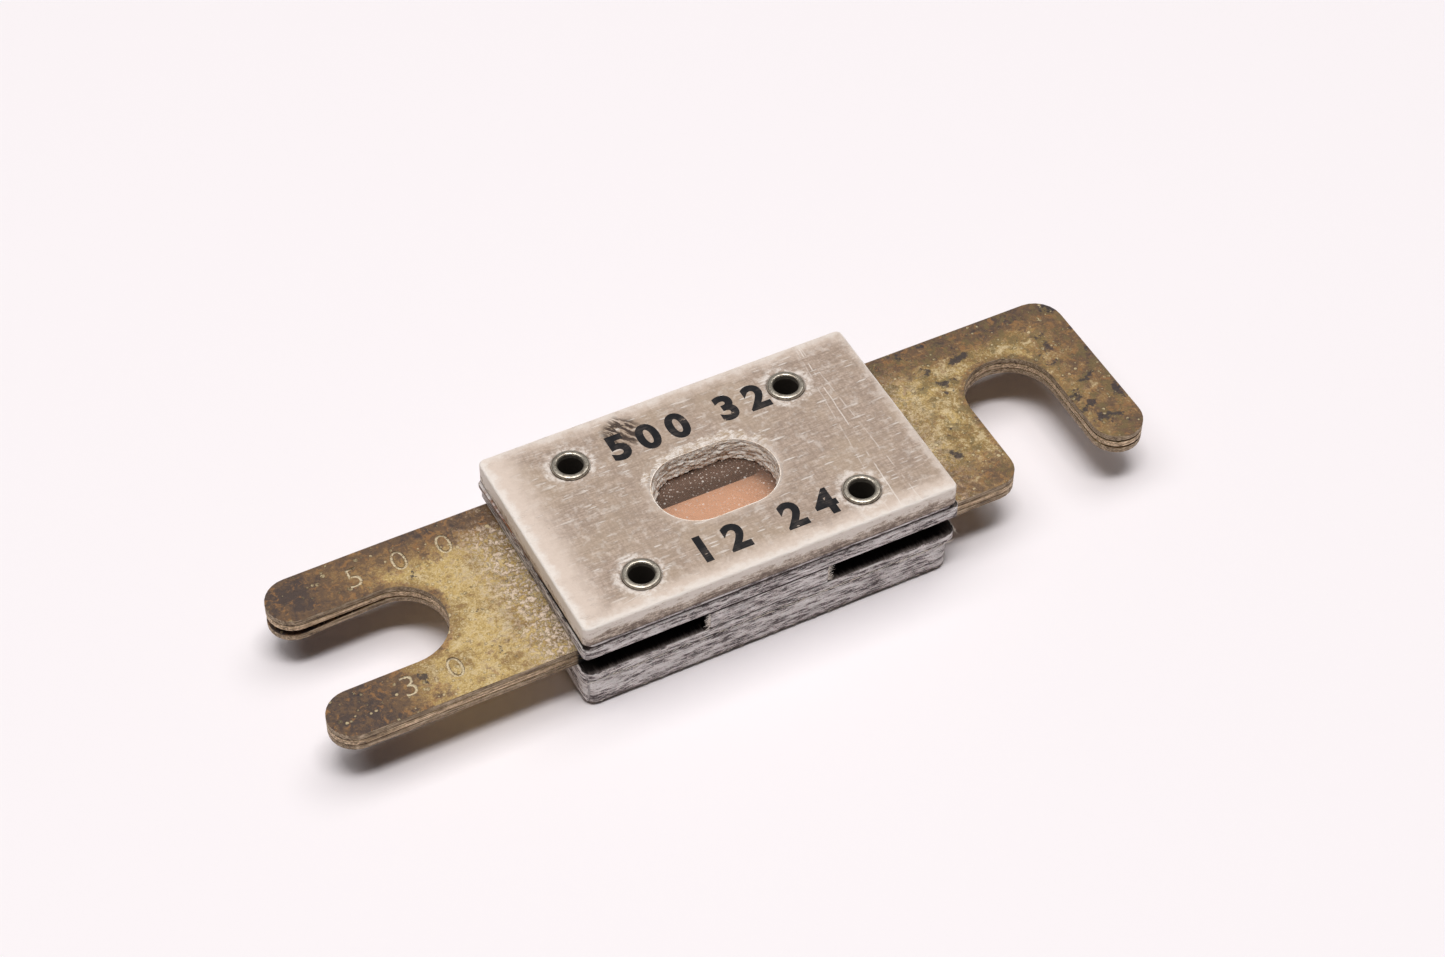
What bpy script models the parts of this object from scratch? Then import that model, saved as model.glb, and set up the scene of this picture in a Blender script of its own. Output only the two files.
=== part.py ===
"""Bolt down strip fuse.

Three stamped metal strips, narrowed to a neck in the middle, lie in a sandwich of fibre
boards that four tubular rivets hold together. A window in the top board shows the neck
through a thin clear sheet. One end of the strips is forked and the other is a hook, so
that each slides under a loose bolt.

X runs along the strips, Y across them and Z up through the sandwich. The origin is at the
middle of the footprint, at the level that the rivets' rolled feet rest on. Sizes are in
millimetres, and meshes are made in metres.
"""

import math

import bmesh
import bpy
from mathutils import Vector

MM = 0.001

# Metal strips
STRIP_LENGTH = 81.0
STRIP_WIDTH = 19.05
STRIP_THICKNESS = 0.62
STRIP_OFFSET_Y = 0.18
STRIP_ROLLED_EDGE = 0.2
STRIP_SHEARED_EDGE = 0.05
BOLT_SLOT_WIDTH = 8.9
BOLT_SLOT_SPACING = 62.0
END_CORNER_RADIUS = 2.7
BLADE_CORNER_RADIUS = 2.3

# Neck of each strip, between the two notches that the spacers fill
NECK_WIDTH = 3.4
NECK_FILLET = 1.0
NOTCH_LENGTH = 12.1
NOTCH_CLEARANCE = 0.2

# How far the tips of the prongs and the hook have been bent down in use
PRONG_TIP_SAG = 0.15
LOOSE_PRONG_TIP_SAG = 0.9
MIDDLE_HOOK_TIP_SAG = 0.12
BOTTOM_HOOK_TIP_SAG = 0.26
SAG_GROWTH = 1.5
BEND_STEPS = 6

# Fibre boards, which reach past the strips' sides; each plate's ends and sides differ a little
BOARD_LENGTH = 36.8
BOARD_OVERHANG = 1.425
BOARD_WIDTH = STRIP_WIDTH + 2 * BOARD_OVERHANG
TOP_PLATE_EXTRA_WIDTH = 0.2
TOP_PLATE_THICKNESS = 2.32
TOP_PLATE_EDGE_ROUND = 0.25
INNER_PLATE_EXTRA_LENGTH = 0.4
INNER_PLATE_OFFSET_X = 0.2
UPPER_INNER_THICKNESS = 1.5
LOWER_INNER_THICKNESS = 1.0
BOTTOM_PLATE_SHORTENING = 0.4
BOTTOM_PLATE_OFFSET_X = -0.1
BOTTOM_PLATE_THICKNESS = 3.06
UPPER_CORNER_RADIUS = 0.6
LOWER_CORNER_RADIUS = 1.1
BOARD_EDGE_BREAK = 0.15

# Clear sheet under the window; its left end is cut out of square and peeps out at the back
SHEET_END_SETBACK = 0.18
SHEET_SIDE_SETBACK = 0.1
SHEET_OFFSET_X = -0.12
SHEET_SKEW = 0.033
SHEET_THICKNESS = 0.42
SHEET_EDGE_BREAK = 0.07

# Window in the top plate, and the chamber under it
WINDOW_LENGTH = 12.0
WINDOW_WIDTH = 8.1
WINDOW_EDGE_WEAR = 0.25
CHAMBER_MARGIN = 0.7

# Spacers that fill the notches and close the sides of the chamber
SPACER_LENGTH = NOTCH_LENGTH - 2 * NOTCH_CLEARANCE
SPACER_EDGE_BREAK = 0.05

# Rivets, whose pattern shares its centre with the window; their distances are from the
# boards' ends and the strips' sides
PATTERN_CENTRE_X = -0.38
PATTERN_CENTRE_Y = -0.4
RIVET_END_DISTANCE = 7.54
RIVET_SIDE_DISTANCE = 2.395
RIVET_SHANK = 2.9
RIVET_WALL = 0.27
RIVET_HOLE_CLEARANCE = 0.08
RIVET_HEAD_LIP = 0.3
RIVET_HEAD_THICKNESS = 0.4
RIVET_HEAD_SINK = 0.14
RIVET_FOOT_LIP = 0.5
RIVET_FOOT_THICKNESS = 0.24

# Space left between pieces that lie on each other
LAYER_GAP = 0.04

# Fineness of the curves, and the angles in degrees that tell rims and sharp edges
PLATE_ROUND_STEPS = 4
STRIP_ROUND_STEPS = 2
RIM_ANGLE = 60
SHARP_ANGLE = 35
SLOT_ARC_STEPS = 20
TIP_ARC_STEPS = 14
CORNER_ARC_STEPS = 6
HOLE_STEPS = 20
ROLL_ARC_STEPS = 3


def stack_levels():
    """Height of each layer's underside, from the rivets' feet up."""
    layers = (
        ("bottom_plate", BOTTOM_PLATE_THICKNESS),
        ("lower_inner_plate", LOWER_INNER_THICKNESS),
        ("strip_bottom", STRIP_THICKNESS),
        ("strip_middle", STRIP_THICKNESS),
        ("strip_top", STRIP_THICKNESS),
        ("upper_inner_plate", UPPER_INNER_THICKNESS),
        ("window_sheet", SHEET_THICKNESS),
        ("top_plate", TOP_PLATE_THICKNESS),
    )
    levels = {}
    height = RIVET_FOOT_THICKNESS + LAYER_GAP
    for name, thickness in layers:
        levels[name] = height
        height += thickness + LAYER_GAP
    levels["top_surface"] = height - LAYER_GAP
    return levels


def rivet_places():
    """Name and (x, y) of each rivet."""
    reach_x = BOARD_LENGTH / 2 - RIVET_END_DISTANCE
    reach_y = STRIP_WIDTH / 2 - RIVET_SIDE_DISTANCE
    places = {}
    for side_y, row in ((-1, "front"), (1, "back")):
        for side_x, end in ((-1, "left"), (1, "right")):
            x = PATTERN_CENTRE_X + side_x * reach_x
            y = PATTERN_CENTRE_Y + side_y * reach_y
            places[f"rivet_{row}_{end}"] = (x, y)
    return places


def arc(centre, radius, start, end, steps):
    """Points on an arc, from the start angle to the end angle in degrees."""
    angles = [math.radians(start + (end - start) * i / steps) for i in range(steps + 1)]
    return [
        (centre[0] + radius * math.cos(a), centre[1] + radius * math.sin(a))
        for a in angles
    ]


def rounded_rectangle(length, width, radius):
    """Outline of a board with round corners, about the origin."""
    x = length / 2 - radius
    y = width / 2 - radius
    points = []
    for corner, start in (((x, y), 0), ((-x, y), 90), ((-x, -y), 180), ((x, -y), 270)):
        points += arc(corner, radius, start, start + 90, CORNER_ARC_STEPS)
    return points


def left_end_skewed(points, slope):
    """Outline whose left end runs further left towards the back, by slope per mm of y."""
    return [(x - slope * y if x < 0 else x, y) for x, y in points]


def obround(length, width):
    """Outline of a slot with round ends, about the origin."""
    radius = width / 2
    x = length / 2 - radius
    right = arc((x, 0), radius, -90, 90, SLOT_ARC_STEPS)
    left = arc((-x, 0), radius, 90, 270, SLOT_ARC_STEPS)
    return right + left


def circle(radius):
    """Outline of a round hole, about the origin."""
    return arc((0, 0), radius, 0, 360, HOLE_STEPS)[:-1]


def neck_notch(side):
    """Notch beside the neck, in the order that the strip's outline runs there."""
    half_length = NOTCH_LENGTH / 2
    edge = side * STRIP_WIDTH / 2
    neck = side * NECK_WIDTH / 2
    centre_y = neck + side * NECK_FILLET
    centre_x = half_length - NECK_FILLET
    half = [(half_length, edge)]
    half += arc((centre_x, centre_y), NECK_FILLET, 0, -side * 90, CORNER_ARC_STEPS)
    other_half = [(-x, y) for x, y in reversed(half)]
    points = half + other_half
    if side < 0:
        points.reverse()
    return [(PATTERN_CENTRE_X + x, y) for x, y in points]


def strip_outline():
    """Outline of one strip, anticlockwise, about the middle of its length and width."""
    end_x = STRIP_LENGTH / 2
    edge_y = STRIP_WIDTH / 2
    slot_x = BOLT_SLOT_SPACING / 2
    slot_radius = BOLT_SLOT_WIDTH / 2
    prong_radius = (STRIP_WIDTH - BOLT_SLOT_WIDTH) / 4
    hook_radius = (end_x - slot_x - slot_radius) / 2
    blade_x = slot_x - slot_radius
    blade_corner = (blade_x - BLADE_CORNER_RADIUS, BLADE_CORNER_RADIUS - edge_y)
    hook_tip = (end_x - hook_radius, hook_radius - edge_y)
    end_corner = (end_x - END_CORNER_RADIUS, edge_y - END_CORNER_RADIUS)
    prong_x = prong_radius - end_x
    prong_y = edge_y - prong_radius
    points = neck_notch(-1)
    points += arc(blade_corner, BLADE_CORNER_RADIUS, -90, 0, CORNER_ARC_STEPS)
    points += arc((slot_x, 0), slot_radius, 180, 0, SLOT_ARC_STEPS)
    points += arc(hook_tip, hook_radius, 180, 360, TIP_ARC_STEPS)
    points += arc(end_corner, END_CORNER_RADIUS, 0, 90, CORNER_ARC_STEPS)
    points += neck_notch(1)
    points += arc((prong_x, prong_y), prong_radius, 90, 270, TIP_ARC_STEPS)
    points += arc((-slot_x, 0), slot_radius, 90, -90, SLOT_ARC_STEPS)
    points += arc((prong_x, -prong_y), prong_radius, 90, 270, TIP_ARC_STEPS)
    return points


def bend_lines():
    """Lines across the prongs and the hook along which they bend: (point, normal)."""
    root_x = (BOLT_SLOT_WIDTH - BOLT_SLOT_SPACING) / 2
    tip_x = -STRIP_LENGTH / 2
    tip_y = -STRIP_WIDTH / 2
    lines = []
    for i in range(BEND_STEPS):
        share = i / BEND_STEPS
        lines.append(((root_x + (tip_x - root_x) * share, 0), (1, 0)))
        lines.append(((0, tip_y * share), (0, 1)))
    return lines


def sag(x, y, back_prong_sag, hook_sag):
    """How far a point of a strip is bent down, growing towards each tip."""
    root_x = (BOLT_SLOT_WIDTH - BOLT_SLOT_SPACING) / 2
    along_prong = (x - root_x) / (-STRIP_LENGTH / 2 - root_x)
    along_hook = y / (-STRIP_WIDTH / 2)
    if along_prong > 0:
        return (back_prong_sag if y > 0 else PRONG_TIP_SAG) * along_prong**SAG_GROWTH
    if x > BOLT_SLOT_SPACING / 2 and along_hook > 0:
        return hook_sag * along_hook**SAG_GROWTH
    return 0.0


def finish_mesh(bm, name):
    """Scales a mesh made in millimetres to metres and turns its faces outward."""
    bmesh.ops.recalc_face_normals(bm, faces=bm.faces)
    bmesh.ops.scale(bm, vec=Vector((MM, MM, MM)), verts=bm.verts)
    mesh = bpy.data.meshes.new(name)
    bm.to_mesh(mesh)
    bm.free()
    return mesh


def outline_face(bm, points, height):
    """Face with the given outline at a height."""
    return bm.faces.new([bm.verts.new((x, y, height)) for x, y in points])


def thicken(bm, thickness):
    """Extrudes the mesh's flat faces up into a plate."""
    grown = bmesh.ops.extrude_face_region(bm, geom=list(bm.faces), use_keep_orig=True)
    top = [item for item in grown["geom"] if isinstance(item, bmesh.types.BMVert)]
    bmesh.ops.translate(bm, vec=Vector((0, 0, thickness)), verts=top)
    bmesh.ops.recalc_face_normals(bm, faces=bm.faces)


def rim_edges(bm, height):
    """Edges of the outline at a height, between a flat face and a side."""
    edges = []
    for edge in bm.edges:
        level = all(abs(vert.co.z - height) < 1e-6 for vert in edge.verts)
        if level and edge.calc_face_angle(0) > math.radians(RIM_ANGLE):
            edges.append(edge)
    return edges


def round_rim(bm, height, width, segments):
    """Rounds the edge round the outline at a height."""
    bmesh.ops.bevel(
        bm,
        geom=rim_edges(bm, height),
        offset=width,
        offset_type="OFFSET",
        segments=segments,
        profile=0.5,
        affect="EDGES",
        clamp_overlap=True,
    )


def plate_mesh(name, points, thickness, top_round, bottom_round, top_segments=1):
    """Flat plate of the given outline, with its top and bottom edges rounded."""
    bm = bmesh.new()
    outline_face(bm, points, 0)
    thicken(bm, thickness)
    round_rim(bm, thickness, top_round, top_segments)
    round_rim(bm, 0, bottom_round, 1)
    return finish_mesh(bm, name)


def strip_mesh(name, back_prong_sag, hook_sag):
    """One strip, with the tips of its prongs and its hook bent down."""
    bm = bmesh.new()
    outline_face(bm, strip_outline(), 0)
    for point, normal in bend_lines():
        bmesh.ops.bisect_plane(
            bm,
            geom=list(bm.verts) + list(bm.edges) + list(bm.faces),
            dist=1e-5,
            plane_co=(*point, 0),
            plane_no=(*normal, 0),
        )
    thicken(bm, STRIP_THICKNESS)
    round_rim(bm, STRIP_THICKNESS, STRIP_ROLLED_EDGE, STRIP_ROUND_STEPS)
    round_rim(bm, 0, STRIP_SHEARED_EDGE, 1)
    for vert in bm.verts:
        vert.co.z -= sag(vert.co.x, vert.co.y, back_prong_sag, hook_sag)
    return finish_mesh(bm, name)


def loft(bm, rings):
    """Closed body through rings of equal length, each a list of (x, y, z)."""
    loops = [[bm.verts.new(point) for point in ring] for ring in rings]
    count = len(rings[0])
    for lower, upper in zip(loops, loops[1:]):
        for i in range(count):
            j = (i + 1) % count
            bm.faces.new((lower[i], lower[j], upper[j], upper[i]))
    bm.faces.new(list(reversed(loops[0])))
    bm.faces.new(loops[-1])


def hole_cutter_mesh(name, steps):
    """Four round cutters at the rivets' places; steps are (radius, height) from below."""
    bm = bmesh.new()
    for x, y in rivet_places().values():
        rings = []
        for radius, height in steps:
            rings.append([(x + u, y + v, height) for u, v in circle(radius)])
        loft(bm, rings)
    return finish_mesh(bm, name)


def slot_cutter_mesh(name, steps):
    """Round-ended cutter at the window; steps are (margin, height) from below."""
    bm = bmesh.new()
    rings = []
    for margin, height in steps:
        outline = obround(WINDOW_LENGTH + 2 * margin, WINDOW_WIDTH + 2 * margin)
        rings.append([(PATTERN_CENTRE_X + x, PATTERN_CENTRE_Y + y, height) for x, y in outline])
    loft(bm, rings)
    return finish_mesh(bm, name)


def rivet_profile(top_surface):
    """Section of a tubular rivet through its wall, as (radius, height) points."""
    shank = RIVET_SHANK / 2
    bore = shank - RIVET_WALL
    head = shank + RIVET_HEAD_LIP
    foot = shank + RIVET_FOOT_LIP
    head_top = top_surface + RIVET_HEAD_THICKNESS - RIVET_HEAD_SINK
    head_roll = RIVET_HEAD_THICKNESS / 2
    foot_roll = RIVET_FOOT_THICKNESS / 2
    head_mouth = (head - head_roll - bore) / 2
    foot_mouth = (foot - foot_roll - bore) / 2
    points = arc((foot - foot_roll, foot_roll), foot_roll, -90, 90, ROLL_ARC_STEPS)
    points.append((shank, RIVET_FOOT_THICKNESS))
    points.append((shank, head_top - RIVET_HEAD_THICKNESS))
    points += arc((head - head_roll, head_top - head_roll), head_roll, -90, 90, ROLL_ARC_STEPS)
    points += arc((bore + head_mouth, head_top - head_mouth), head_mouth, 90, 180, ROLL_ARC_STEPS)
    points += arc((bore + foot_mouth, foot_mouth), foot_mouth, 180, 270, ROLL_ARC_STEPS)
    return points


def rivet_mesh(name, top_surface):
    """Tubular rivet, turned about its own axis."""
    bm = bmesh.new()
    profile = [bm.verts.new((radius, 0, height)) for radius, height in rivet_profile(top_surface)]
    edges = [bm.edges.new((a, b)) for a, b in zip(profile, profile[1:] + profile[:1])]
    bmesh.ops.spin(
        bm,
        geom=profile + edges,
        cent=(0, 0, 0),
        axis=(0, 0, 1),
        angle=2 * math.pi,
        steps=HOLE_STEPS,
        use_merge=True,
    )
    bmesh.ops.remove_doubles(bm, verts=bm.verts, dist=1e-5)
    return finish_mesh(bm, name)


def make_material(name, colour, roughness, metallic):
    """Plain surface of one colour."""
    material = bpy.data.materials.new(name)
    material.use_nodes = True
    shader = material.node_tree.nodes["Principled BSDF"]
    shader.inputs["Base Color"].default_value = (*colour, 1)
    shader.inputs["Roughness"].default_value = roughness
    shader.inputs["Metallic"].default_value = metallic
    return material


def add_piece(name, mesh, parent, place, material):
    """Object for one piece, shaded smooth between its sharp edges."""
    if not mesh.materials:
        mesh.materials.append(material)
    mesh.shade_smooth()
    mesh.set_sharp_from_angle(angle=math.radians(SHARP_ANGLE))
    piece = bpy.data.objects.new(name, mesh)
    piece.location = Vector(place) * MM
    piece.parent = parent
    bpy.context.scene.collection.objects.link(piece)
    return piece


def add_cutter(name, mesh):
    """Object that only cuts others and is never part of the fuse."""
    cutter = bpy.data.objects.new(name, mesh)
    cutter.hide_render = True
    cutter.display_type = "WIRE"
    bpy.context.scene.collection.objects.link(cutter)
    return cutter


def cut(piece, cutter):
    """Takes the cutter's shape out of a piece."""
    modifier = piece.modifiers.new(cutter.name, "BOOLEAN")
    modifier.operation = "DIFFERENCE"
    modifier.solver = "EXACT"
    modifier.object = cutter


def clear_scene():
    """Removes whatever the file holds."""
    for item in list(bpy.data.objects):
        bpy.data.objects.remove(item, do_unlink=True)


def build_boards(root, levels, holes):
    """The four fibre boards and the clear sheet, with their holes and openings."""
    board = make_material("pale_fibre_board", (0.52, 0.46, 0.39), 0.7, 0.0)
    dark_board = make_material("grey_fibre_board", (0.3, 0.27, 0.25), 0.75, 0.0)
    clear = make_material("clear_sheet", (0.42, 0.34, 0.28), 0.2, 0.0)
    corner = UPPER_CORNER_RADIUS
    lower_corner = LOWER_CORNER_RADIUS
    edge_break = BOARD_EDGE_BREAK
    bottom = (BOARD_LENGTH - BOTTOM_PLATE_SHORTENING, BOTTOM_PLATE_OFFSET_X)
    inner = (BOARD_LENGTH + INNER_PLATE_EXTRA_LENGTH, INNER_PLATE_OFFSET_X)
    shapes = (
        ("bottom_plate", *bottom, BOTTOM_PLATE_THICKNESS, lower_corner),
        ("lower_inner_plate", *inner, LOWER_INNER_THICKNESS, lower_corner),
        ("upper_inner_plate", *inner, UPPER_INNER_THICKNESS, corner),
    )
    for name, length, offset, thickness, radius in shapes:
        outline = rounded_rectangle(length, BOARD_WIDTH, radius)
        mesh = plate_mesh(name, outline, thickness, edge_break, edge_break)
        plate = add_piece(name, mesh, root, (offset, 0, levels[name]), dark_board)
        cut(plate, holes["shank"])
        if name == "upper_inner_plate":
            cut(plate, holes["chamber"])

    sheet_length = BOARD_LENGTH - 2 * SHEET_END_SETBACK
    sheet_width = BOARD_WIDTH - 2 * SHEET_SIDE_SETBACK
    outline = left_end_skewed(rounded_rectangle(sheet_length, sheet_width, corner), SHEET_SKEW)
    sheet_break = SHEET_EDGE_BREAK
    mesh = plate_mesh("window_sheet", outline, SHEET_THICKNESS, sheet_break, sheet_break)
    place = (SHEET_OFFSET_X, 0, levels["window_sheet"])
    sheet = add_piece("window_sheet", mesh, root, place, clear)
    cut(sheet, holes["shank"])

    outline = rounded_rectangle(BOARD_LENGTH, BOARD_WIDTH + TOP_PLATE_EXTRA_WIDTH, corner)
    edge_round = TOP_PLATE_EDGE_ROUND
    steps = PLATE_ROUND_STEPS
    mesh = plate_mesh("top_plate", outline, TOP_PLATE_THICKNESS, edge_round, edge_break, steps)
    plate = add_piece("top_plate", mesh, root, (0, 0, levels["top_plate"]), board)
    cut(plate, holes["head"])
    cut(plate, holes["window"])


def build_strips(root, levels, holes):
    """The three strips, the lowest with its back prong sprung away from the others."""
    metal = make_material("tarnished_metal", (0.4, 0.3, 0.14), 0.45, 0.9)
    sags = {
        "strip_bottom": (LOOSE_PRONG_TIP_SAG, BOTTOM_HOOK_TIP_SAG),
        "strip_middle": (PRONG_TIP_SAG, MIDDLE_HOOK_TIP_SAG),
        "strip_top": (PRONG_TIP_SAG, 0),
    }
    for name, (back_prong_sag, hook_sag) in sags.items():
        mesh = strip_mesh(name, back_prong_sag, hook_sag)
        strip = add_piece(name, mesh, root, (0, STRIP_OFFSET_Y, levels[name]), metal)
        cut(strip, holes["shank"])


def build_spacers(root, levels):
    """Fibre blocks in the strips' notches, from the boards' sides to the chamber."""
    fibre = make_material("spacer_fibre", (0.34, 0.3, 0.27), 0.75, 0.0)
    height = levels["strip_top"] + STRIP_THICKNESS - levels["strip_bottom"]
    for name, side in (("spacer_front", -1), ("spacer_back", 1)):
        outer = side * BOARD_WIDTH / 2
        inner = PATTERN_CENTRE_Y + side * (WINDOW_WIDTH / 2 + CHAMBER_MARGIN)
        outline = rounded_rectangle(SPACER_LENGTH, abs(outer - inner), BOARD_EDGE_BREAK)
        mesh = plate_mesh(name, outline, height, SPACER_EDGE_BREAK, SPACER_EDGE_BREAK)
        place = (PATTERN_CENTRE_X, (outer + inner) / 2, levels["strip_bottom"])
        add_piece(name, mesh, root, place, fibre)


def build_rivets(root, levels):
    """Four tubular rivets through the whole sandwich."""
    plated = make_material("plated_rivet", (0.62, 0.58, 0.5), 0.3, 1.0)
    mesh = rivet_mesh("rivet", levels["top_surface"])
    for name, (x, y) in rivet_places().items():
        add_piece(name, mesh, root, (x, y, 0), plated)


def build_cutters(levels):
    """Cutters for the rivets' holes, the window and the chamber."""
    top = levels["top_surface"]
    above = top + TOP_PLATE_THICKNESS
    hole = RIVET_SHANK / 2 + RIVET_HOLE_CLEARANCE
    seat = RIVET_SHANK / 2 + RIVET_HEAD_LIP + RIVET_HOLE_CLEARANCE
    seat_level = top - RIVET_HEAD_SINK - LAYER_GAP
    shank = ((hole, -LAYER_GAP), (hole, above))
    head = ((hole, -LAYER_GAP), (hole, seat_level), (seat, seat_level), (seat, above))
    wear_level = top - WINDOW_EDGE_WEAR
    window = ((0, levels["window_sheet"]), (0, wear_level), (above - wear_level, above))
    chamber = ((CHAMBER_MARGIN, levels["strip_top"]), (CHAMBER_MARGIN, levels["top_plate"]))
    return {
        "shank": add_cutter("shank_cutter", hole_cutter_mesh("shank_cutter", shank)),
        "head": add_cutter("head_cutter", hole_cutter_mesh("head_cutter", head)),
        "window": add_cutter("window_cutter", slot_cutter_mesh("window_cutter", window)),
        "chamber": add_cutter("chamber_cutter", slot_cutter_mesh("chamber_cutter", chamber)),
    }


def main():
    """Builds the fuse."""
    clear_scene()
    levels = stack_levels()
    root = bpy.data.objects.new("fuse", None)
    bpy.context.scene.collection.objects.link(root)
    holes = build_cutters(levels)
    build_boards(root, levels, holes)
    build_strips(root, levels, holes)
    build_spacers(root, levels)
    build_rivets(root, levels)


main()
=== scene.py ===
"""Looks of the bolt down strip fuse.

The boards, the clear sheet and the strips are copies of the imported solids, shaded smooth and
dressed in worn fibre board, dusty sheet and tarnished metal. The rolled rivets, the torn wall of
the window, the loose glass fibres and the stamped and printed numerals are modelled here.
Lengths are millimetres while a piece is modelled, and metres once it is finished.
"""

from __future__ import annotations

import functools
import logging
import math
import random
from collections.abc import Callable, Iterable
from dataclasses import dataclass
from enum import Enum

import bmesh
import bpy
from mathutils import Matrix, Vector, noise

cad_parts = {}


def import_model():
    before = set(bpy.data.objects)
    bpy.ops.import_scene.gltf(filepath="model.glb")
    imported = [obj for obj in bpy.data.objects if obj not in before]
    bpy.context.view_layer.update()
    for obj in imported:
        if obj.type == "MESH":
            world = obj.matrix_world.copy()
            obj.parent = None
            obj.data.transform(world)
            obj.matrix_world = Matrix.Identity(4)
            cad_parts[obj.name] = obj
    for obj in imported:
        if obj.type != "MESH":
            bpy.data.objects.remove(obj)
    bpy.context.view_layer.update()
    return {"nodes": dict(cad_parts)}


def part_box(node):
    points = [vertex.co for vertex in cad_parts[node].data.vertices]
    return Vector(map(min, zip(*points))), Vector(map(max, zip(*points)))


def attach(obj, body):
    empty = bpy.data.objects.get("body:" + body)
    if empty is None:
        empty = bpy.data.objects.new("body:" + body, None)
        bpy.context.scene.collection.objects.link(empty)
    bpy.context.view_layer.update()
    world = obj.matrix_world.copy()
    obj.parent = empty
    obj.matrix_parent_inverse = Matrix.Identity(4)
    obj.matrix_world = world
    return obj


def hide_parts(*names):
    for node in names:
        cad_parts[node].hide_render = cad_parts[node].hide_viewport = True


MM = 0.001
PHOTO_WIDTH = 1445
BODY = "root"
UNDERSIDE_LEVEL = 0.28
LOG = logging.getLogger("strip_fuse")

Colour = tuple[float, float, float]
Point = tuple[float, float, float]
Socket = bpy.types.NodeSocket
Number = float | Socket


class Slot(Enum):
    """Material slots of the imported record."""

    PALE_BOARD = "pale_board"
    GREY_BOARD = "grey_board"
    CLEAR_SHEET = "clear_sheet"
    STRIP_METAL = "strip_metal"
    RIVET_PLATING = "rivet_plating"


class Part(Enum):
    """Kinds of mesh element that are selected by place, with Blender's name of each."""

    VERTS = "VERT"
    EDGES = "EDGE"


def only(*pieces: bpy.types.Object) -> None:
    """Selects these objects alone and makes the first of them active.

    Args:
        pieces: the objects.
    """
    bpy.ops.object.select_all(action="DESELECT")
    for piece in pieces:
        piece.select_set(True)
    bpy.context.view_layer.objects.active = pieces[0]


def linked(name: str, data: bpy.types.ID) -> bpy.types.Object:
    """New object in the scene for a mesh, a lamp or a camera.

    Args:
        name: name of the object.
        data: what the object shows.

    Returns:
        The new object.
    """
    made = bpy.data.objects.new(name, data)
    bpy.context.scene.collection.objects.link(made)
    return made


class Editing:
    """Edit mode on one object."""

    def __init__(self, piece: bpy.types.Object) -> None:
        """Keeps the object to be edited."""
        self.piece = piece

    def __enter__(self) -> Editing:
        """Enters edit mode.

        Returns:
            Itself.
        """
        only(self.piece)
        bpy.ops.object.mode_set(mode="EDIT")
        return self

    def __exit__(self, *_: object) -> None:
        """Leaves edit mode."""
        bpy.ops.object.mode_set(mode="OBJECT")

    def select(self, part: Part, test: Callable[[list[Vector]], bool]) -> None:
        """Selects elements by their place.

        Args:
            part: kind of element.
            test: says whether an element with these corner points is wanted.
        """
        bpy.ops.mesh.select_mode(type=part.value)
        bpy.ops.mesh.select_all(action="DESELECT")
        mesh = bmesh.from_edit_mesh(self.piece.data)
        for item in mesh.verts if part is Part.VERTS else mesh.edges:
            corners = [item] if part is Part.VERTS else item.verts
            if test([vert.co for vert in corners]):
                item.select_set(True)
        mesh.select_flush_mode()
        bmesh.update_edit_mesh(self.piece.data)

    def everything(self) -> None:
        """Selects the whole mesh."""
        bpy.ops.mesh.select_all(action="SELECT")

    def move(self, step: Iterable[float]) -> None:
        """Moves what is selected."""
        bpy.ops.transform.translate(value=step)

    def merge(self, distance: float = 0.0005) -> None:
        """Merges all corners that lie closer together than this."""
        self.everything()
        bpy.ops.mesh.remove_doubles(threshold=distance)

    def face_outwards(self) -> None:
        """Turns every face outwards."""
        self.everything()
        bpy.ops.mesh.normals_make_consistent(inside=False)


def apply_modifiers(piece: bpy.types.Object) -> None:
    """Applies every modifier of a piece, from the top of its stack.

    Args:
        piece: the piece.
    """
    only(piece)
    for modifier in list(piece.modifiers):
        bpy.ops.object.modifier_apply(modifier=modifier.name)


def settle(piece: bpy.types.Object) -> None:
    """Moves an object's place, turn and size into its mesh."""
    only(piece)
    bpy.ops.object.transform_apply(location=True, rotation=True, scale=True)


def finish_piece(
    piece: bpy.types.Object,
    name: str,
    material: bpy.types.Material,
    slot: Slot,
    smooth_angle: float = 35.0,
) -> None:
    """Turns a piece modelled in millimetres into a dressed piece of the fuse.

    Args:
        piece: object whose mesh is in millimetres.
        name: name in a maker's words.
        material: its finish.
        slot: the record's slot that the finish belongs to; not used.
        smooth_angle: faces that meet at less than this many degrees are shaded smooth.
    """
    settle(piece)
    piece.scale = (MM, MM, MM)
    settle(piece)
    bpy.ops.object.shade_smooth_by_angle(angle=math.radians(smooth_angle))
    piece.name = name
    piece.data.name = name
    piece.data.materials.clear()
    piece.data.materials.append(material)
    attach(piece, BODY)
    LOG.info("%s: %d faces", name, len(piece.data.polygons))


def keep_planes_flat(piece: bpy.types.Object) -> None:
    """Shades large flat faces as flat, and leaves the bending of the light to the small ones.

    Args:
        piece: the piece.
    """
    weighted = piece.modifiers.new("shading", "WEIGHTED_NORMAL")
    weighted.weight = 100
    weighted.keep_sharp = True
    apply_modifiers(piece)


def merged_copy(node: bpy.types.Object) -> bpy.types.Object:
    """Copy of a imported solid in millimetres, with its loose triangles merged.

    Args:
        node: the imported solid.

    Returns:
        The copy.
    """
    copy = linked(node.name + "_copy", node.data.copy())
    copy.scale = (1 / MM, 1 / MM, 1 / MM)
    settle(copy)
    with Editing(copy) as editing:
        editing.merge()
        editing.face_outwards()
    return copy


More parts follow.
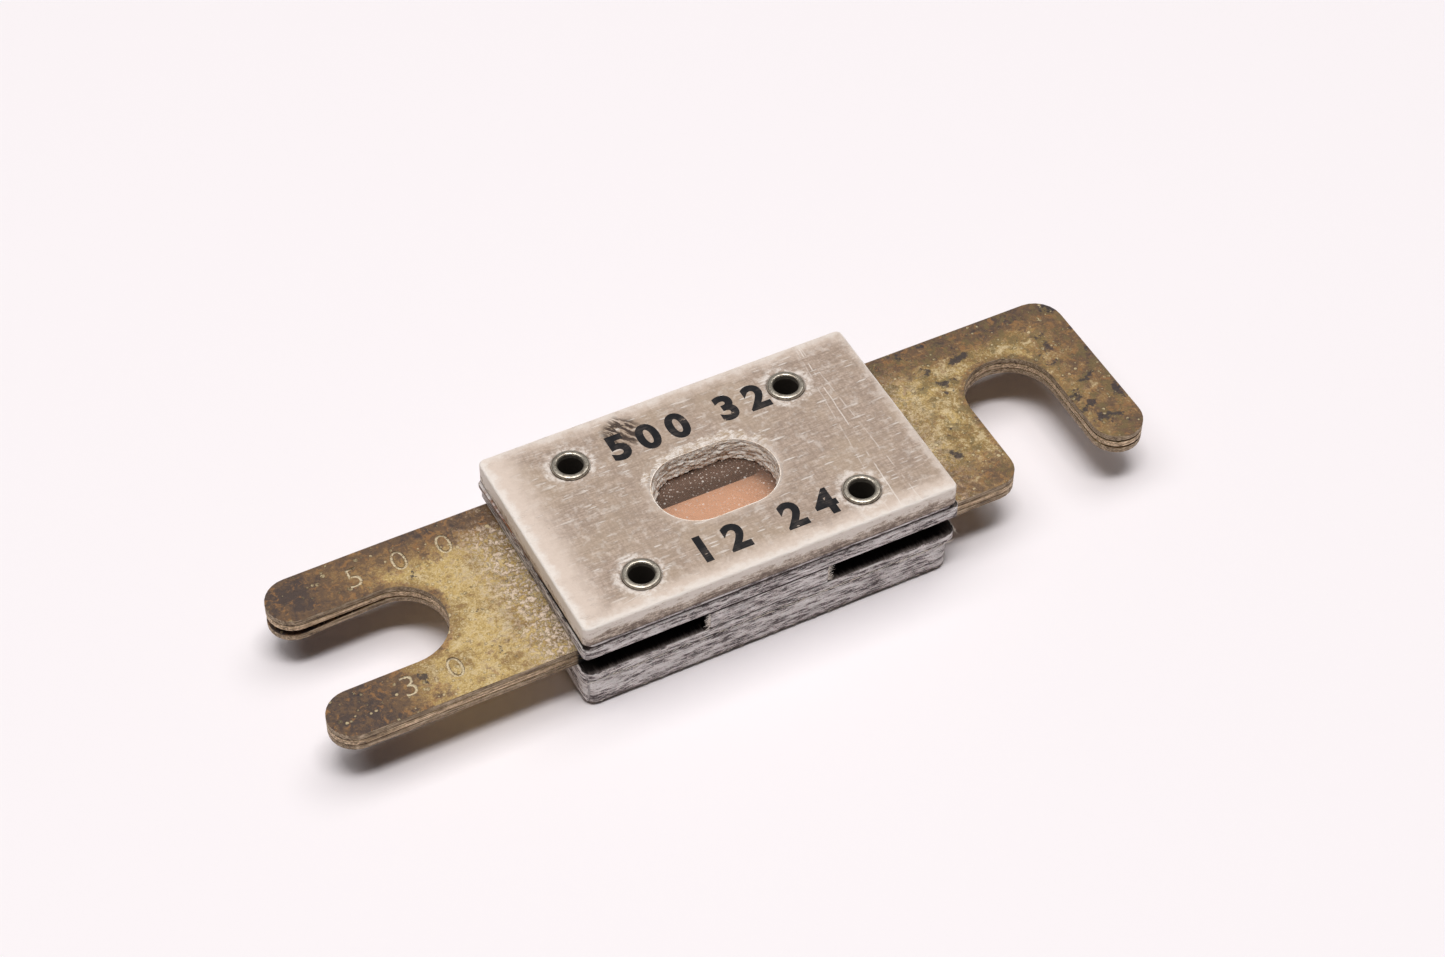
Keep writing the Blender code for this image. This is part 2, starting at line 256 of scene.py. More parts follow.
def cut_away(piece: bpy.types.Object, cutter: bpy.types.Object) -> None:
    """Takes a cutter's shape out of a piece and removes the cutter.

    Args:
        piece: the piece.
        cutter: closed solid that is taken out.
    """
    modifier = piece.modifiers.new("cut", "BOOLEAN")
    modifier.operation = "DIFFERENCE"
    modifier.solver = "EXACT"
    modifier.object = cutter
    apply_modifiers(piece)
    bpy.data.objects.remove(cutter, do_unlink=True)


class Wiring:
    """Adds shader nodes to one tree and joins their sockets."""

    def __init__(self, tree: bpy.types.NodeTree) -> None:
        """Keeps the tree to be wired."""
        self.tree = tree

    def join(self, socket: Socket, value: Number | Colour | Vector) -> None:
        """Gives a socket a value, or links it to another socket.

        Args:
            socket: the input.
            value: number, colour or vector, or the socket that it comes from.
        """
        if isinstance(value, Socket):
            self.tree.links.new(value, socket)
        elif isinstance(value, tuple) and socket.type == "RGBA":
            socket.default_value = (*value, 1.0)
        else:
            socket.default_value = value

    def node(
        self, kind: str, inputs: dict[str | int, object], **settings: object
    ) -> bpy.types.Node:
        """Adds a node.

        Args:
            kind: Blender's name of the node type.
            inputs: values or sockets for its inputs, by name or number.
            settings: properties of the node.

        Returns:
            The new node.
        """
        made = self.tree.nodes.new(kind)
        for key, value in settings.items():
            setattr(made, key, value)
        for key, value in inputs.items():
            self.join(made.inputs[key], value)
        return made

    def math(self, operation: str, first: Number, second: Number = 0.0) -> Socket:
        """Result of an arithmetic operation on one or two values."""
        return self.node("ShaderNodeMath", {0: first, 1: second}, operation=operation).outputs[0]

    def total(self, *values: Number) -> Socket:
        """Sum of several values."""
        return functools.reduce(functools.partial(self.math, "ADD"), values)

    def product(self, *values: Number) -> Socket:
        """Product of several values."""
        return functools.reduce(functools.partial(self.math, "MULTIPLY"), values)

    def highest(self, *values: Number) -> Socket:
        """Highest of several values."""
        return functools.reduce(functools.partial(self.math, "MAXIMUM"), values)

    def minus(self, first: Number, second: Number) -> Socket:
        """First value less the second."""
        return self.math("SUBTRACT", first, second)

    def rest(self, share: Number) -> Socket:
        """What a share leaves of the whole."""
        return self.minus(1.0, share)

    def size(self, value: Socket) -> Socket:
        """Value without its sign."""
        return self.math("ABSOLUTE", value)

    def weighted(self, *pairs: tuple[Socket, float]) -> Socket:
        """Sum of several values, each times its weight."""
        return self.total(*(self.product(*pair) for pair in pairs))

    def axes(self, vector: Socket) -> tuple[Socket, Socket, Socket]:
        """The x, y and z of a vector."""
        return tuple(self.node("ShaderNodeSeparateXYZ", {0: vector}).outputs)

    def vector(self, x: Number, y: Number, z: Number) -> Socket:
        """A vector from its x, y and z."""
        return self.node("ShaderNodeCombineXYZ", {0: x, 1: y, 2: z}).outputs[0]

    def shifted(self, place: Socket, step: Vector | Socket) -> Socket:
        """A place moved by a step."""
        return self.node("ShaderNodeVectorMath", {0: place, 1: step}, operation="ADD").outputs[0]

    def length(self, x: Number, y: Number) -> Socket:
        """Distance from the origin of a flat point."""
        return self.math("SQRT", self.total(self.product(x, x), self.product(y, y)))

    def rise(self, value: Number, low: float, high: float) -> Socket:
        """Smooth rise from 0 to 1 as a value goes from low to high, or back if high is lower.

        Args:
            value: what rises.
            low: value where the rise starts.
            high: value where it ends.

        Returns:
            The share.
        """
        if high < low:
            return self.rest(self.rise(value, high, low))
        inputs = {"Value": value, "From Min": low, "From Max": high}
        return self.node("ShaderNodeMapRange", inputs, interpolation_type="SMOOTHSTEP").outputs[0]

    def noise(
        self,
        place: Socket,
        scale: float,
        detail: float = 3.0,
        rough: float = 0.55,
        bend: float = 0.0,
    ) -> Socket:
        """Cloudy noise between about 0.25 and 0.75, with scale in cycles to the millimetre."""
        inputs = {"Vector": place, "Scale": scale, "Detail": detail, "Roughness": rough}
        return self.node("ShaderNodeTexNoise", {**inputs, "Distortion": bend}).outputs[0]

    def mix(self, share: Number, first: Socket | Colour, second: Socket | Colour) -> Socket:
        """Colour between two colours."""
        settings = {"data_type": "RGBA", "clamp_factor": True}
        return self.node("ShaderNodeMix", {0: share, 6: first, 7: second}, **settings).outputs[2]

    def ramp(self, value: Socket, stops: tuple[tuple[float, Colour], ...]) -> Socket:
        """Colour from a value, through stops in rising order.

        Args:
            value: place along the ramp, from 0 to 1.
            stops: places and their colours.

        Returns:
            The colour.
        """
        made = self.node("ShaderNodeValToRGB", {0: value})
        elements = made.color_ramp.elements
        while len(elements) < len(stops):
            elements.new(1.0)
        for element, (position, colour) in zip(elements, stops):
            element.position = position
            element.color = (*colour, 1.0)
        return made.outputs[0]

    def bump(self, height: Socket, depth: float) -> Socket:
        """Normal of a surface whose relief is this many millimetres deep."""
        inputs = {"Height": height, "Distance": depth * MM, "Strength": 1.0}
        return self.node("ShaderNodeBump", inputs).outputs[0]


@dataclass(frozen=True)
class Effect:
    """Shader node group that several finishes place with their own values."""

    name: str
    inputs: tuple[tuple[str, str], ...]
    outputs: tuple[tuple[str, str], ...]

    def wire(self, w: Wiring, given: dict[str, Socket]) -> dict[str, Socket]:
        """Builds the inside of the group and returns its outputs by name."""
        raise NotImplementedError

    def tree(self) -> bpy.types.NodeTree:
        """The group, built when it is first asked for.

        Returns:
            The group's nodes.
        """
        known = bpy.data.node_groups.get(self.name)
        if known:
            return known
        tree = bpy.data.node_groups.new(self.name, "ShaderNodeTree")
        for way, sockets in (("INPUT", self.inputs), ("OUTPUT", self.outputs)):
            for name, kind in sockets:
                tree.interface.new_socket(name=name, in_out=way, socket_type=kind)
        source = tree.nodes.new("NodeGroupInput")
        target = tree.nodes.new("NodeGroupOutput")
        wiring = Wiring(tree)
        given = {name: source.outputs[name] for name, _ in self.inputs}
        for name, socket in self.wire(wiring, given).items():
            wiring.join(target.inputs[name], socket)
        return tree

    def put(self, wiring: Wiring, **values: object) -> dict[str, Socket]:
        """Places the group in a material.

        Args:
            wiring: the material's nodes.
            values: values or sockets for the group's inputs, with spaces as underscores.

        Returns:
            Its outputs by name.
        """
        made = wiring.node("ShaderNodeGroup", {}, node_tree=self.tree())
        for key, value in values.items():
            wiring.join(made.inputs[key.replace("_", " ").capitalize()], value)
        return {name: made.outputs[name] for name, _ in self.outputs}


VECTOR = "NodeSocketVector"
FLOAT = "NodeSocketFloat"


@dataclass(frozen=True)
class FibreStreaks(Effect):
    """Fine streaks that run along x, as fibres or rolling marks do."""

    name: str = "fibre_streaks"
    inputs: tuple = (
        ("Place", VECTOR), ("Streak length", FLOAT), ("Streak width", FLOAT), ("Seed", FLOAT)
    )
    outputs: tuple = (("Streaks", FLOAT),)

    def wire(self, w: Wiring, given: dict[str, Socket]) -> dict[str, Socket]:
        """Stretched noise, spread over 0 to 1.

        Args:
            w: nodes of the group.
            given: the group's inputs by name.

        Returns:
            Its outputs by name.
        """
        x, y, z = w.axes(given["Place"])
        along = w.math("DIVIDE", x, given["Streak length"])
        across = w.math("DIVIDE", y, given["Streak width"])
        height = w.math("DIVIDE", z, given["Streak width"])
        place = w.vector(w.total(along, given["Seed"]), across, height)
        return {"Streaks": w.rise(w.noise(place, 1.0, 3.0, 0.6), 0.3, 0.7)}


@dataclass(frozen=True)
class ScatteredSpecks(Effect):
    """Small round specks, scattered and of unlike size."""

    name: str = "scattered_specks"
    inputs: tuple = (("Place", VECTOR), ("Spacing", FLOAT), ("Size", FLOAT), ("Seed", FLOAT))
    outputs: tuple = (("Specks", FLOAT),)

    def wire(self, w: Wiring, given: dict[str, Socket]) -> dict[str, Socket]:
        """A speck round some of the cells' points, uneven in size.

        Args:
            w: nodes of the group.
            given: the group's inputs by name.

        Returns:
            Its outputs by name.
        """
        spread = w.shifted(given["Place"], given["Seed"])
        closer = w.math("DIVIDE", 1.0, given["Spacing"])
        cells = w.node("ShaderNodeTexVoronoi", {"Vector": spread, "Scale": closer}).outputs
        radius = w.product(given["Size"], w.rise(w.axes(cells["Color"])[0], 0.45, 1.0), closer)
        wobble = w.product(radius, w.noise(spread, 6.0))
        inside = w.minus(w.total(radius, wobble), cells["Distance"])
        return {"Specks": w.rise(w.product(inside, 14.0), 0.0, 1.0)}


@dataclass(frozen=True)
class CutLaminate(Effect):
    """Sawn side of a glass fibre board: thin plies, streaked dark and light."""

    name: str = "cut_laminate"
    inputs: tuple = (("Place", VECTOR), ("Normal", VECTOR), ("Seed", FLOAT))
    outputs: tuple = (("Side", FLOAT), ("Tone", FLOAT), ("Fibres", FLOAT))

    def wire(self, w: Wiring, given: dict[str, Socket]) -> dict[str, Socket]:
        """Streaks along the side, whichever way it faces.

        Args:
            w: nodes of the group.
            given: the group's inputs by name.

        Returns:
            Its outputs by name.
        """
        x, y, z = w.axes(given["Place"])
        nx, _, nz = w.axes(given["Normal"])
        end = w.rise(w.size(nx), 0.6, 0.8)
        along = w.total(w.product(x, w.rest(end)), w.product(y, end))
        wave = w.product(w.noise(w.vector(along, 0.0, z), 0.5), 0.2)
        flat = w.vector(along, w.total(z, wave), given["Seed"])
        broad, fine, hair = (
            FibreStreaks().put(w, place=flat, streak_length=length, streak_width=width, seed=seed)
            for length, width, seed in (
                (2.4, 0.42, given["Seed"]), (0.75, 0.13, given["Seed"]), (0.8, 0.1, 7.3)
            )
        )
        grain = w.rise(w.noise(flat, 7.0, 3.0, 0.6), 0.3, 0.7)
        return {
            "Side": w.rise(w.size(nz), 0.75, 0.35),
            "Tone": w.weighted((broad["Streaks"], 0.48), (fine["Streaks"], 0.36), (grain, 0.16)),
            "Fibres": w.rise(hair["Streaks"], 0.72, 0.88),
        }


@dataclass(frozen=True)
class Layout:
    """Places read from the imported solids, in millimetres."""

    plate_low: Vector
    plate_high: Vector
    strips_top: float
    rivets: dict[str, tuple[float, float]]
    rivet_low: float
    rivet_high: float
    window_length: float = 12.0
    window_width: float = 8.1
    slot_width: float = 8.9
    slot_spacing: float = 62.0
    strip_centre_y: float = 0.18

    @staticmethod
    def read(nodes: Iterable[str]) -> Layout:
        """Reads the layout from the loaded frame.

        Args:
            nodes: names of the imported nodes.

        Returns:
            The layout.
        """
        low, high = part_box("top_plate")
        rivets = {}
        for name in sorted(nodes):
            if name.startswith("rivet_"):
                start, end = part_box(name)
                rivets[name] = ((start.x + end.x) / 2 / MM, (start.y + end.y) / 2 / MM)
        foot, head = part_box("rivet_front_left")
        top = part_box("strip_top")[1].z / MM
        return Layout(low / MM, high / MM, top, rivets, foot.z / MM, head.z / MM)

    @property
    def centre(self) -> tuple[float, float]:
        """Middle of the rivets' pattern, which is the middle of the window."""
        return tuple((min(row) + max(row)) / 2 for row in zip(*self.rivets.values()))

    @property
    def reach(self) -> tuple[float, float]:
        """Half the distances between the rivets."""
        return tuple((max(row) - min(row)) / 2 for row in zip(*self.rivets.values()))

    @property
    def window_straight(self) -> float:
        """Length of the window's straight sides."""
        return self.window_length - self.window_width


class Coats:
    """Colour of a surface, built up coat by coat."""

    def __init__(self, wiring: Wiring, colour: Socket | Colour) -> None:
        """Starts with the lowest coat."""
        self.wiring = wiring
        self.colour = colour

    def lay(self, colour: Socket | Colour, *shares: Number) -> None:
        """Lays a colour over the coats so far, by the product of its shares."""
        self.colour = self.wiring.mix(self.wiring.product(*shares), self.colour, colour)


class Surface:
    """A material with its shader, its place in millimetres and its normal."""

    def __init__(self, name: str) -> None:
        """Makes the material.

        Args:
            name: the finish, in a maker's words.
        """
        self.material = bpy.data.materials.new(name)
        self.material.use_nodes = True
        self.wiring = Wiring(self.material.node_tree)
        self.shader = self.material.node_tree.nodes["Principled BSDF"]
        source = self.wiring.node("ShaderNodeTexCoord", {}).outputs
        scale = {0: source["Object"], "Scale": 1 / MM}
        scaled = self.wiring.node("ShaderNodeVectorMath", scale, operation="SCALE")
        self.place = scaled.outputs[0]
        self.normal = source["Normal"]
        self.x, self.y, self.z = self.wiring.axes(self.place)
        self.nx, _, self.nz = self.wiring.axes(self.normal)

    def set(self, **inputs: object) -> bpy.types.Material:
        """Gives the shader its inputs, with spaces as underscores, and returns the material.

        Args:
            inputs: values or sockets by the input's name.

        Returns:
            The material.
        """
        for key, value in inputs.items():
            self.wiring.join(self.shader.inputs[key.replace("_", " ")], value)
        return self.material

    def noise(
        self, scale: float, detail: float = 3.0, rough: float = 0.55, bend: float = 0.0
    ) -> Socket:
        """Cloudy noise over the surface."""
        return self.wiring.noise(self.place, scale, detail, rough, bend)

    def streaks(
        self, length: float, width: float, seed: float, place: Socket | None = None
    ) -> Socket:
        """Streaks along x, over the surface or over another place.

        Args:
            length: length of a streak in millimetres.
            width: width of a streak in millimetres.
            seed: value that sets one pattern apart from another.
            place: where, or nothing for the surface itself.

        Returns:
            Their strength, from 0 to 1.
        """
        given = {"streak_length": length, "streak_width": width, "seed": seed}
        given["place"] = self.place if place is None else place
        return FibreStreaks().put(self.wiring, **given)["Streaks"]

    def specks(
        self, spacing: float, size: float, seed: float, place: Socket | None = None
    ) -> Socket:
        """Scattered specks, over the surface or over another place.

        Args:
            spacing: distance between specks in millimetres.
            size: radius of the largest speck in millimetres.
            seed: value that sets one pattern apart from another.
            place: where, or nothing for the surface itself.

        Returns:
            Their strength, from 0 to 1.
        """
        given = {"spacing": spacing, "size": size, "seed": seed}
        given["place"] = self.place if place is None else place
        return ScatteredSpecks().put(self.wiring, **given)["Specks"]

    def laminate(self, seed: float) -> dict[str, Socket]:
        """Sawn sides of a board."""
        return CutLaminate().put(self.wiring, place=self.place, normal=self.normal, seed=seed)

    def rivet_distance(self, layout: Layout) -> Socket:
        """Distance from the axis of the nearest rivet.

        Args:
            layout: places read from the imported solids.

        Returns:
            The distance in millimetres.
        """
        w = self.wiring
        across = w.minus(w.size(w.minus(self.x, layout.centre[0])), layout.reach[0])
        back = w.minus(w.size(w.minus(self.y, layout.centre[1])), layout.reach[1])
        return w.length(across, back)

    def window_distance(self, layout: Layout) -> Socket:
        """Distance outside the window's outline, negative within it.

        Args:
            layout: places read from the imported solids.

        Returns:
            The distance in millimetres.
        """
        w = self.wiring
        along = w.minus(w.size(w.minus(self.x, layout.centre[0])), layout.window_straight / 2)
        beyond = w.highest(along, 0.0)
        aside = w.minus(self.y, layout.centre[1])
        return w.minus(w.length(beyond, aside), layout.window_width / 2)


@dataclass(frozen=True)
class PaleBoardFinish:
    """Top plate: pale woven glass fibre, worn bright at its rims, with painted sheen and highlights
    there.

    A band is the width and strength of the cream rim at the left, right, front and back: a painted
    sheen and highlight over the worn rim. A scratch is its place along the plate, its lean and its
    strength.
    """

    dark: Colour = (0.33, 0.25, 0.2)
    middle: Colour = (0.42, 0.318, 0.252)
    light: Colour = (0.57, 0.45, 0.37)
    beige: Colour = (0.53, 0.41, 0.3)
    cream: Colour = (0.79, 0.66, 0.57)
    white: Colour = (0.92, 0.85, 0.79)
    dirt: Colour = (0.13, 0.09, 0.07)
    side_dark: Colour = (0.23, 0.165, 0.125)
    side_middle: Colour = (0.62, 0.5, 0.4)
    side_light: Colour = (0.96, 0.87, 0.78)
    seam: Colour = (0.09, 0.045, 0.03)
    torn_brown: Colour = (0.46, 0.34, 0.23)
    torn_grey: Colour = (0.66, 0.56, 0.48)
    smear_haze: Colour = (0.24, 0.16, 0.09)
    smear_dark: Colour = (0.04, 0.024, 0.02)
    smear_place: tuple[float, float] = (-5.4, 8.3)
    sheen_and_wear_bands: tuple[tuple[float, float], ...] = ((4.4, 1.0), (1.1, 0.35), (2.6, 0.9), (2.1, 0.65))
    scratches: tuple[tuple[float, float, float], ...] = (
        (13.3, 0.05, 0.6), (14.3, -0.03, 0.4), (12.5, 0.1, 0.3)
    )

    def build(self, layout: Layout) -> bpy.types.Material:
        """Makes the material for the plate's layout.

        Args:
            layout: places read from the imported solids.

        Returns:
            The material.
        """
        surface = Surface("pale_woven_board")
        w, x, y = surface.wiring, surface.x, surface.y
        level = w.product(surface.z, 0.2)
        flat = w.vector(x, y, level)
        weft = surface.streaks(1.5, 0.2, 0.0, flat)
        thread = surface.streaks(0.6, 0.1, 4.0, flat)
        warp = surface.streaks(1.4, 0.22, 9.0, w.vector(y, x, level))
        grain = w.rise(surface.noise(4.5, 4.0, 0.7), 0.3, 0.7)
        tone = w.weighted((weft, 0.3), (thread, 0.25), (warp, 0.2), (grain, 0.25))
        coats = Coats(w, w.ramp(tone, ((0.2, self.dark), (0.5, self.middle), (0.8, self.light))))
        coats.lay(self.beige, w.rise(surface.noise(0.16), 0.38, 0.62), 0.4)
        coats.lay(self.white, w.rise(surface.noise(1.2, 5.0, 0.7), 0.5, 0.66), 0.3)
        ticks = [
            surface.specks(spacing, size, stretch, w.vector(w.product(x, stretch), y, 1.0))
            for spacing, size, stretch in ((0.42, 0.1, 0.16), (0.3, 0.075, 0.2))
        ]
        dashes = w.product(w.highest(*ticks), w.rise(surface.noise(0.5), 0.3, 0.6))
        coats.lay(self.white, dashes, 0.6)

        wobble = w.minus(surface.noise(0.9, 5.0, 0.65), 0.5)
        self.edge_sheen_and_wear(surface, layout, wobble, coats)
        self.rivet_marks(surface, layout, wobble, coats)
        self.window_rim(surface, layout, wobble, coats)
        self.scratch(surface, wobble, coats)
        self.smear(surface, wobble, coats)
        coats.lay(self.dirt, surface.specks(2.6, 0.1, 3.0), 0.6)
        self.sides(surface, layout, wobble, coats)
        height = w.total(w.weighted((weft, 0.4), (thread, 0.5), (grain, 0.5)), dashes)
        return surface.set(
            Base_Color=coats.colour,
            Roughness=w.total(0.45, w.product(tone, 0.2)),
            Normal=w.bump(height, 0.035),
            Specular_IOR_Level=0.35,
        )

    def edge_sheen_and_wear(self, surface: Surface, layout: Layout, wobble: Socket, coats: Coats) -> None:
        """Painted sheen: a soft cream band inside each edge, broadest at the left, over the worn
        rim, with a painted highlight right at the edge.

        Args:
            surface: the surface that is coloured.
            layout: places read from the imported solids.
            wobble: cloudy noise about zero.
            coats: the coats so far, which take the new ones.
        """
        w = surface.wiring
        low, high = layout.plate_low, layout.plate_high
        soft, bright = [], []
        gaps = ((surface.x, low.x), (high.x, surface.x), (surface.y, low.y), (high.y, surface.y))
        for (far, near), (width, strength) in zip(gaps, self.sheen_and_wear_bands):
            uneven = w.total(w.minus(far, near), w.product(wobble, 2.2))
            soft.append(w.product(w.rise(uneven, width, width * 0.25), strength))
            bright.append(w.product(w.rise(uneven, 1.05, 0.1), strength))
        # Painted sheen over the worn rim, then a painted highlight along the edge itself.
        coats.lay(self.cream, w.highest(*soft), 0.92)
        coats.lay(self.white, w.highest(*bright), 0.85)

    def rivet_marks(self, surface: Surface, layout: Layout, wobble: Socket, coats: Coats) -> None:
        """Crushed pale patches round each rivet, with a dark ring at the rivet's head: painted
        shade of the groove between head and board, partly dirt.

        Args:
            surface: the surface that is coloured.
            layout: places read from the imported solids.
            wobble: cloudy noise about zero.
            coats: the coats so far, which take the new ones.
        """
        w = surface.wiring
        distance = surface.rivet_distance(layout)
        ring = w.rise(w.total(distance, w.product(wobble, 2.2)), 2.75, 2.05)
        patches = w.rise(surface.noise(1.9, 4.0, 0.65), 0.42, 0.6)
        coats.lay(self.white, ring, w.total(0.1, w.product(patches, 0.6)))
        # Painted shade of the groove round the rivet's head, partly dirt.
        coats.lay(self.dirt, w.rise(w.total(distance, w.product(wobble, 0.5)), 1.98, 1.76), 0.7)

    def window_rim(self, surface: Surface, layout: Layout, wobble: Socket, coats: Coats) -> None:
        """Pale bruised rim round the window, torn at the back.

        Args:
            surface: the surface that is coloured.
            layout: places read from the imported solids.
            wobble: cloudy noise about zero.
            coats: the coats so far, which take the new ones.
        """
        w, y = surface.wiring, surface.y
        gap = surface.window_distance(layout)
        distance = w.total(gap, w.product(wobble, 1.1))
        coats.lay(self.cream, w.rise(distance, 1.0, 0.2), 0.3)
        coats.lay(self.white, w.rise(distance, 0.3, 0.0), 0.4)
        back = w.rise(w.minus(y, layout.centre[1]), 0.8, 3.0)
        stretched = w.vector(w.product(surface.x, 0.9), w.product(y, 2.2), 2.0)
        plies = w.noise(stretched, 1.5, 5.0, 0.75, 0.6)
        torn = w.ramp(plies, ((0.42, self.torn_brown), (0.49, self.torn_grey), (0.57, self.white)))
        ragged = w.rise(w.total(gap, w.product(wobble, 3.2)), 0.9, 0.5)
        coats.lay(torn, ragged, back, 0.85)

    def scratch(self, surface: Surface, wobble: Socket, coats: Coats) -> None:
        """Pale scratches that run across the plate near its right end.

        Args:
            surface: the surface that is coloured.
            wobble: cloudy noise about zero.
            coats: the coats so far, which take the new ones.
        """
        w, x, y = surface.wiring, surface.x, surface.y
        marks = []
        for start, lean, strength in self.scratches:
            line = w.minus(x, w.total(start, w.product(y, lean), w.product(wobble, 0.2)))
            marks.append(w.product(w.rise(w.size(line), 0.08, 0.03), strength))
        broken = w.rise(w.noise(w.vector(x, y, 3.0), 0.8), 0.42, 0.55)
        coats.lay(self.white, w.highest(*marks), broken)

    def smear(self, surface: Surface, wobble: Socket, coats: Coats) -> None:
        """Dark streaks of dirt that run slantwise beside the back row of print.

        Args:
            surface: the surface that is coloured.
            wobble: cloudy noise about zero.
            coats: the coats so far, which take the new ones.
        """
        w = surface.wiring
        across = w.minus(surface.x, self.smear_place[0])
        back = w.minus(surface.y, self.smear_place[1])
        along = w.weighted((across, 0.55), (back, -0.84))
        aside = w.weighted((across, 0.84), (back, 0.55), (wobble, 0.5))
        stretched = w.vector(w.product(along, 0.5), w.product(aside, 2.8), 5.0)
        lines = w.noise(stretched, 1.0, 4.0, 0.7, 0.4)
        reach = w.rise(w.total(w.length(along, aside), w.product(wobble, 1.5)), 2.2, 1.1)
        coats.lay(self.smear_haze, w.rise(lines, 0.38, 0.5), reach, 0.6)
        coats.lay(self.smear_dark, w.rise(lines, 0.43, 0.52), reach, 0.9)

    def sides(self, surface: Surface, layout: Layout, wobble: Socket, coats: Coats) -> None:
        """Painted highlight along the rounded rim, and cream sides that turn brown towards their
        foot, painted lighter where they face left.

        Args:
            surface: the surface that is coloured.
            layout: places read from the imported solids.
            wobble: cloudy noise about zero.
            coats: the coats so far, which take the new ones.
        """
        w, z = surface.wiring, surface.z
        base = layout.plate_low.z
        cut = surface.laminate(3.0)
        mottle = w.weighted((cut["Tone"], 0.35), (surface.noise(1.9, 6.0, 0.8), 0.65))
        foot = w.rise(w.total(z, w.product(wobble, -1.6)), base + 1.9, base + 0.5)
        mottle = w.minus(w.total(mottle, 0.14), w.product(foot, 0.26))
        # Painted light: the sides that face left are lighter.
        mottle = w.total(mottle, w.product(w.rise(surface.nx, -0.4, -0.9), 0.14))
        tones = ((0.33, self.side_dark), (0.47, self.side_middle), (0.58, self.side_light))
        coats.lay(w.ramp(mottle, tones), cut["Side"])
        # Painted highlight on the rounded rim between the top and the sides, weaker round the
        # window.
        upright = w.size(surface.nz)
        outer = w.total(0.25, w.product(w.rise(surface.window_distance(layout), 0.4, 0.8), 0.75))
        rim = w.product(w.rise(upright, 0.2, 0.6), w.rise(upright, 0.99, 0.9), outer)
        coats.lay(self.white, rim, w.rise(w.total(wobble, 0.5), 0.36, 0.56), 0.85)
        under = w.rise(w.total(z, w.product(wobble, -0.5)), base + 0.32, base + 0.1)
        coats.lay(self.seam, under, 0.85)


@dataclass(frozen=True)
class GreyBoardFinish:
    """Inner plates, bottom plate and spacers: grey sawn sides, and flats painted near black as
    shade between the boards, lit grey near the front edge.
    """

    name: str
    gap_shade: Colour = (0.018, 0.013, 0.012)
    flat: Colour = (0.2, 0.165, 0.15)
    side_dark: Colour = (0.13, 0.107, 0.107)
    side_middle: Colour = (0.68, 0.59, 0.57)
    side_light: Colour = (0.99, 0.94, 0.92)
    fibre: Colour = (0.97, 0.94, 0.91)
    foot: Colour = (0.1, 0.07, 0.05)
    chamber_shade: Colour = (0.075, 0.052, 0.042)
    under_dark: Colour = (0.2, 0.155, 0.125)
    under_light: Colour = (0.46, 0.375, 0.31)
    seed: float = 0.0
    shaded_ends: bool = False

    def build(self, layout: Layout) -> bpy.types.Material:
        """Makes the material for the boards' layout.

        Args:
            layout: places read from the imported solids.

        Returns:
            The material.
        """
        surface = Surface(self.name)
        w, x, y, z = surface.wiring, surface.x, surface.y, surface.z
        cut = surface.laminate(self.seed)
        tones = ((0.3, self.side_dark), (0.46, self.side_middle), (0.64, self.side_light))
        side = Coats(w, w.ramp(cut["Tone"], tones))
        side.lay(self.fibre, cut["Fibres"], 0.85)
        side.lay(self.side_dark, w.rise(surface.noise(0.45, 4.0, 0.6), 0.45, 0.7), 0.3)
        # Painted shade: the sides darken towards the table.
        level = w.total(z, w.product(surface.noise(1.2), 0.5))
        side.lay(self.foot, w.rise(level, 0.95, 0.55), 0.75)
        # Painted shade on the board sides round the chamber under the window.
        side.lay(self.chamber_shade, w.rise(surface.window_distance(layout), 2.6, 1.2), 0.93)
        # Painted shade on the spacers' end faces, deep in the gaps between the boards.
        if self.shaded_ends:
            side.lay(self.gap_shade, w.rise(w.size(surface.nx), 0.85, 0.98), 0.8)
        stretched = w.vector(w.product(x, 3.2), w.product(y, 0.5), self.seed)
        comb = w.noise(stretched, 1.0, 5.0, 0.75, 0.4)
        reach = w.total(w.minus(y, layout.plate_low.y), w.product(w.minus(comb, 0.5), 2.6))
        # Painted shade: the flats between the boards are near black. Painted light makes them grey
        # near the front edge, with a frayed border.
        coats = Coats(w, self.gap_shade)
        coats.lay(self.flat, w.rise(reach, 1.0, -0.3))
        threads = (
            w.noise(w.vector(w.product(x, across), w.product(y, back), 0.0), 1.0)
            for across, back in ((0.4, 4.0), (4.0, 0.4))
        )
        weave = w.weighted(*((thread, 0.5) for thread in threads))
        outer = w.ramp(weave, ((0.4, self.under_dark), (0.6, self.under_light)))
        coats.lay(outer, w.rise(z, UNDERSIDE_LEVEL + 0.2, UNDERSIDE_LEVEL + 0.1))
        coats.lay(side.colour, cut["Side"])
        height = w.weighted((cut["Tone"], 0.8), (cut["Fibres"], 0.5))
        return surface.set(
            Base_Color=coats.colour,
            Roughness=0.8,
            Normal=w.bump(height, 0.09),
            Specular_IOR_Level=0.25,
        )


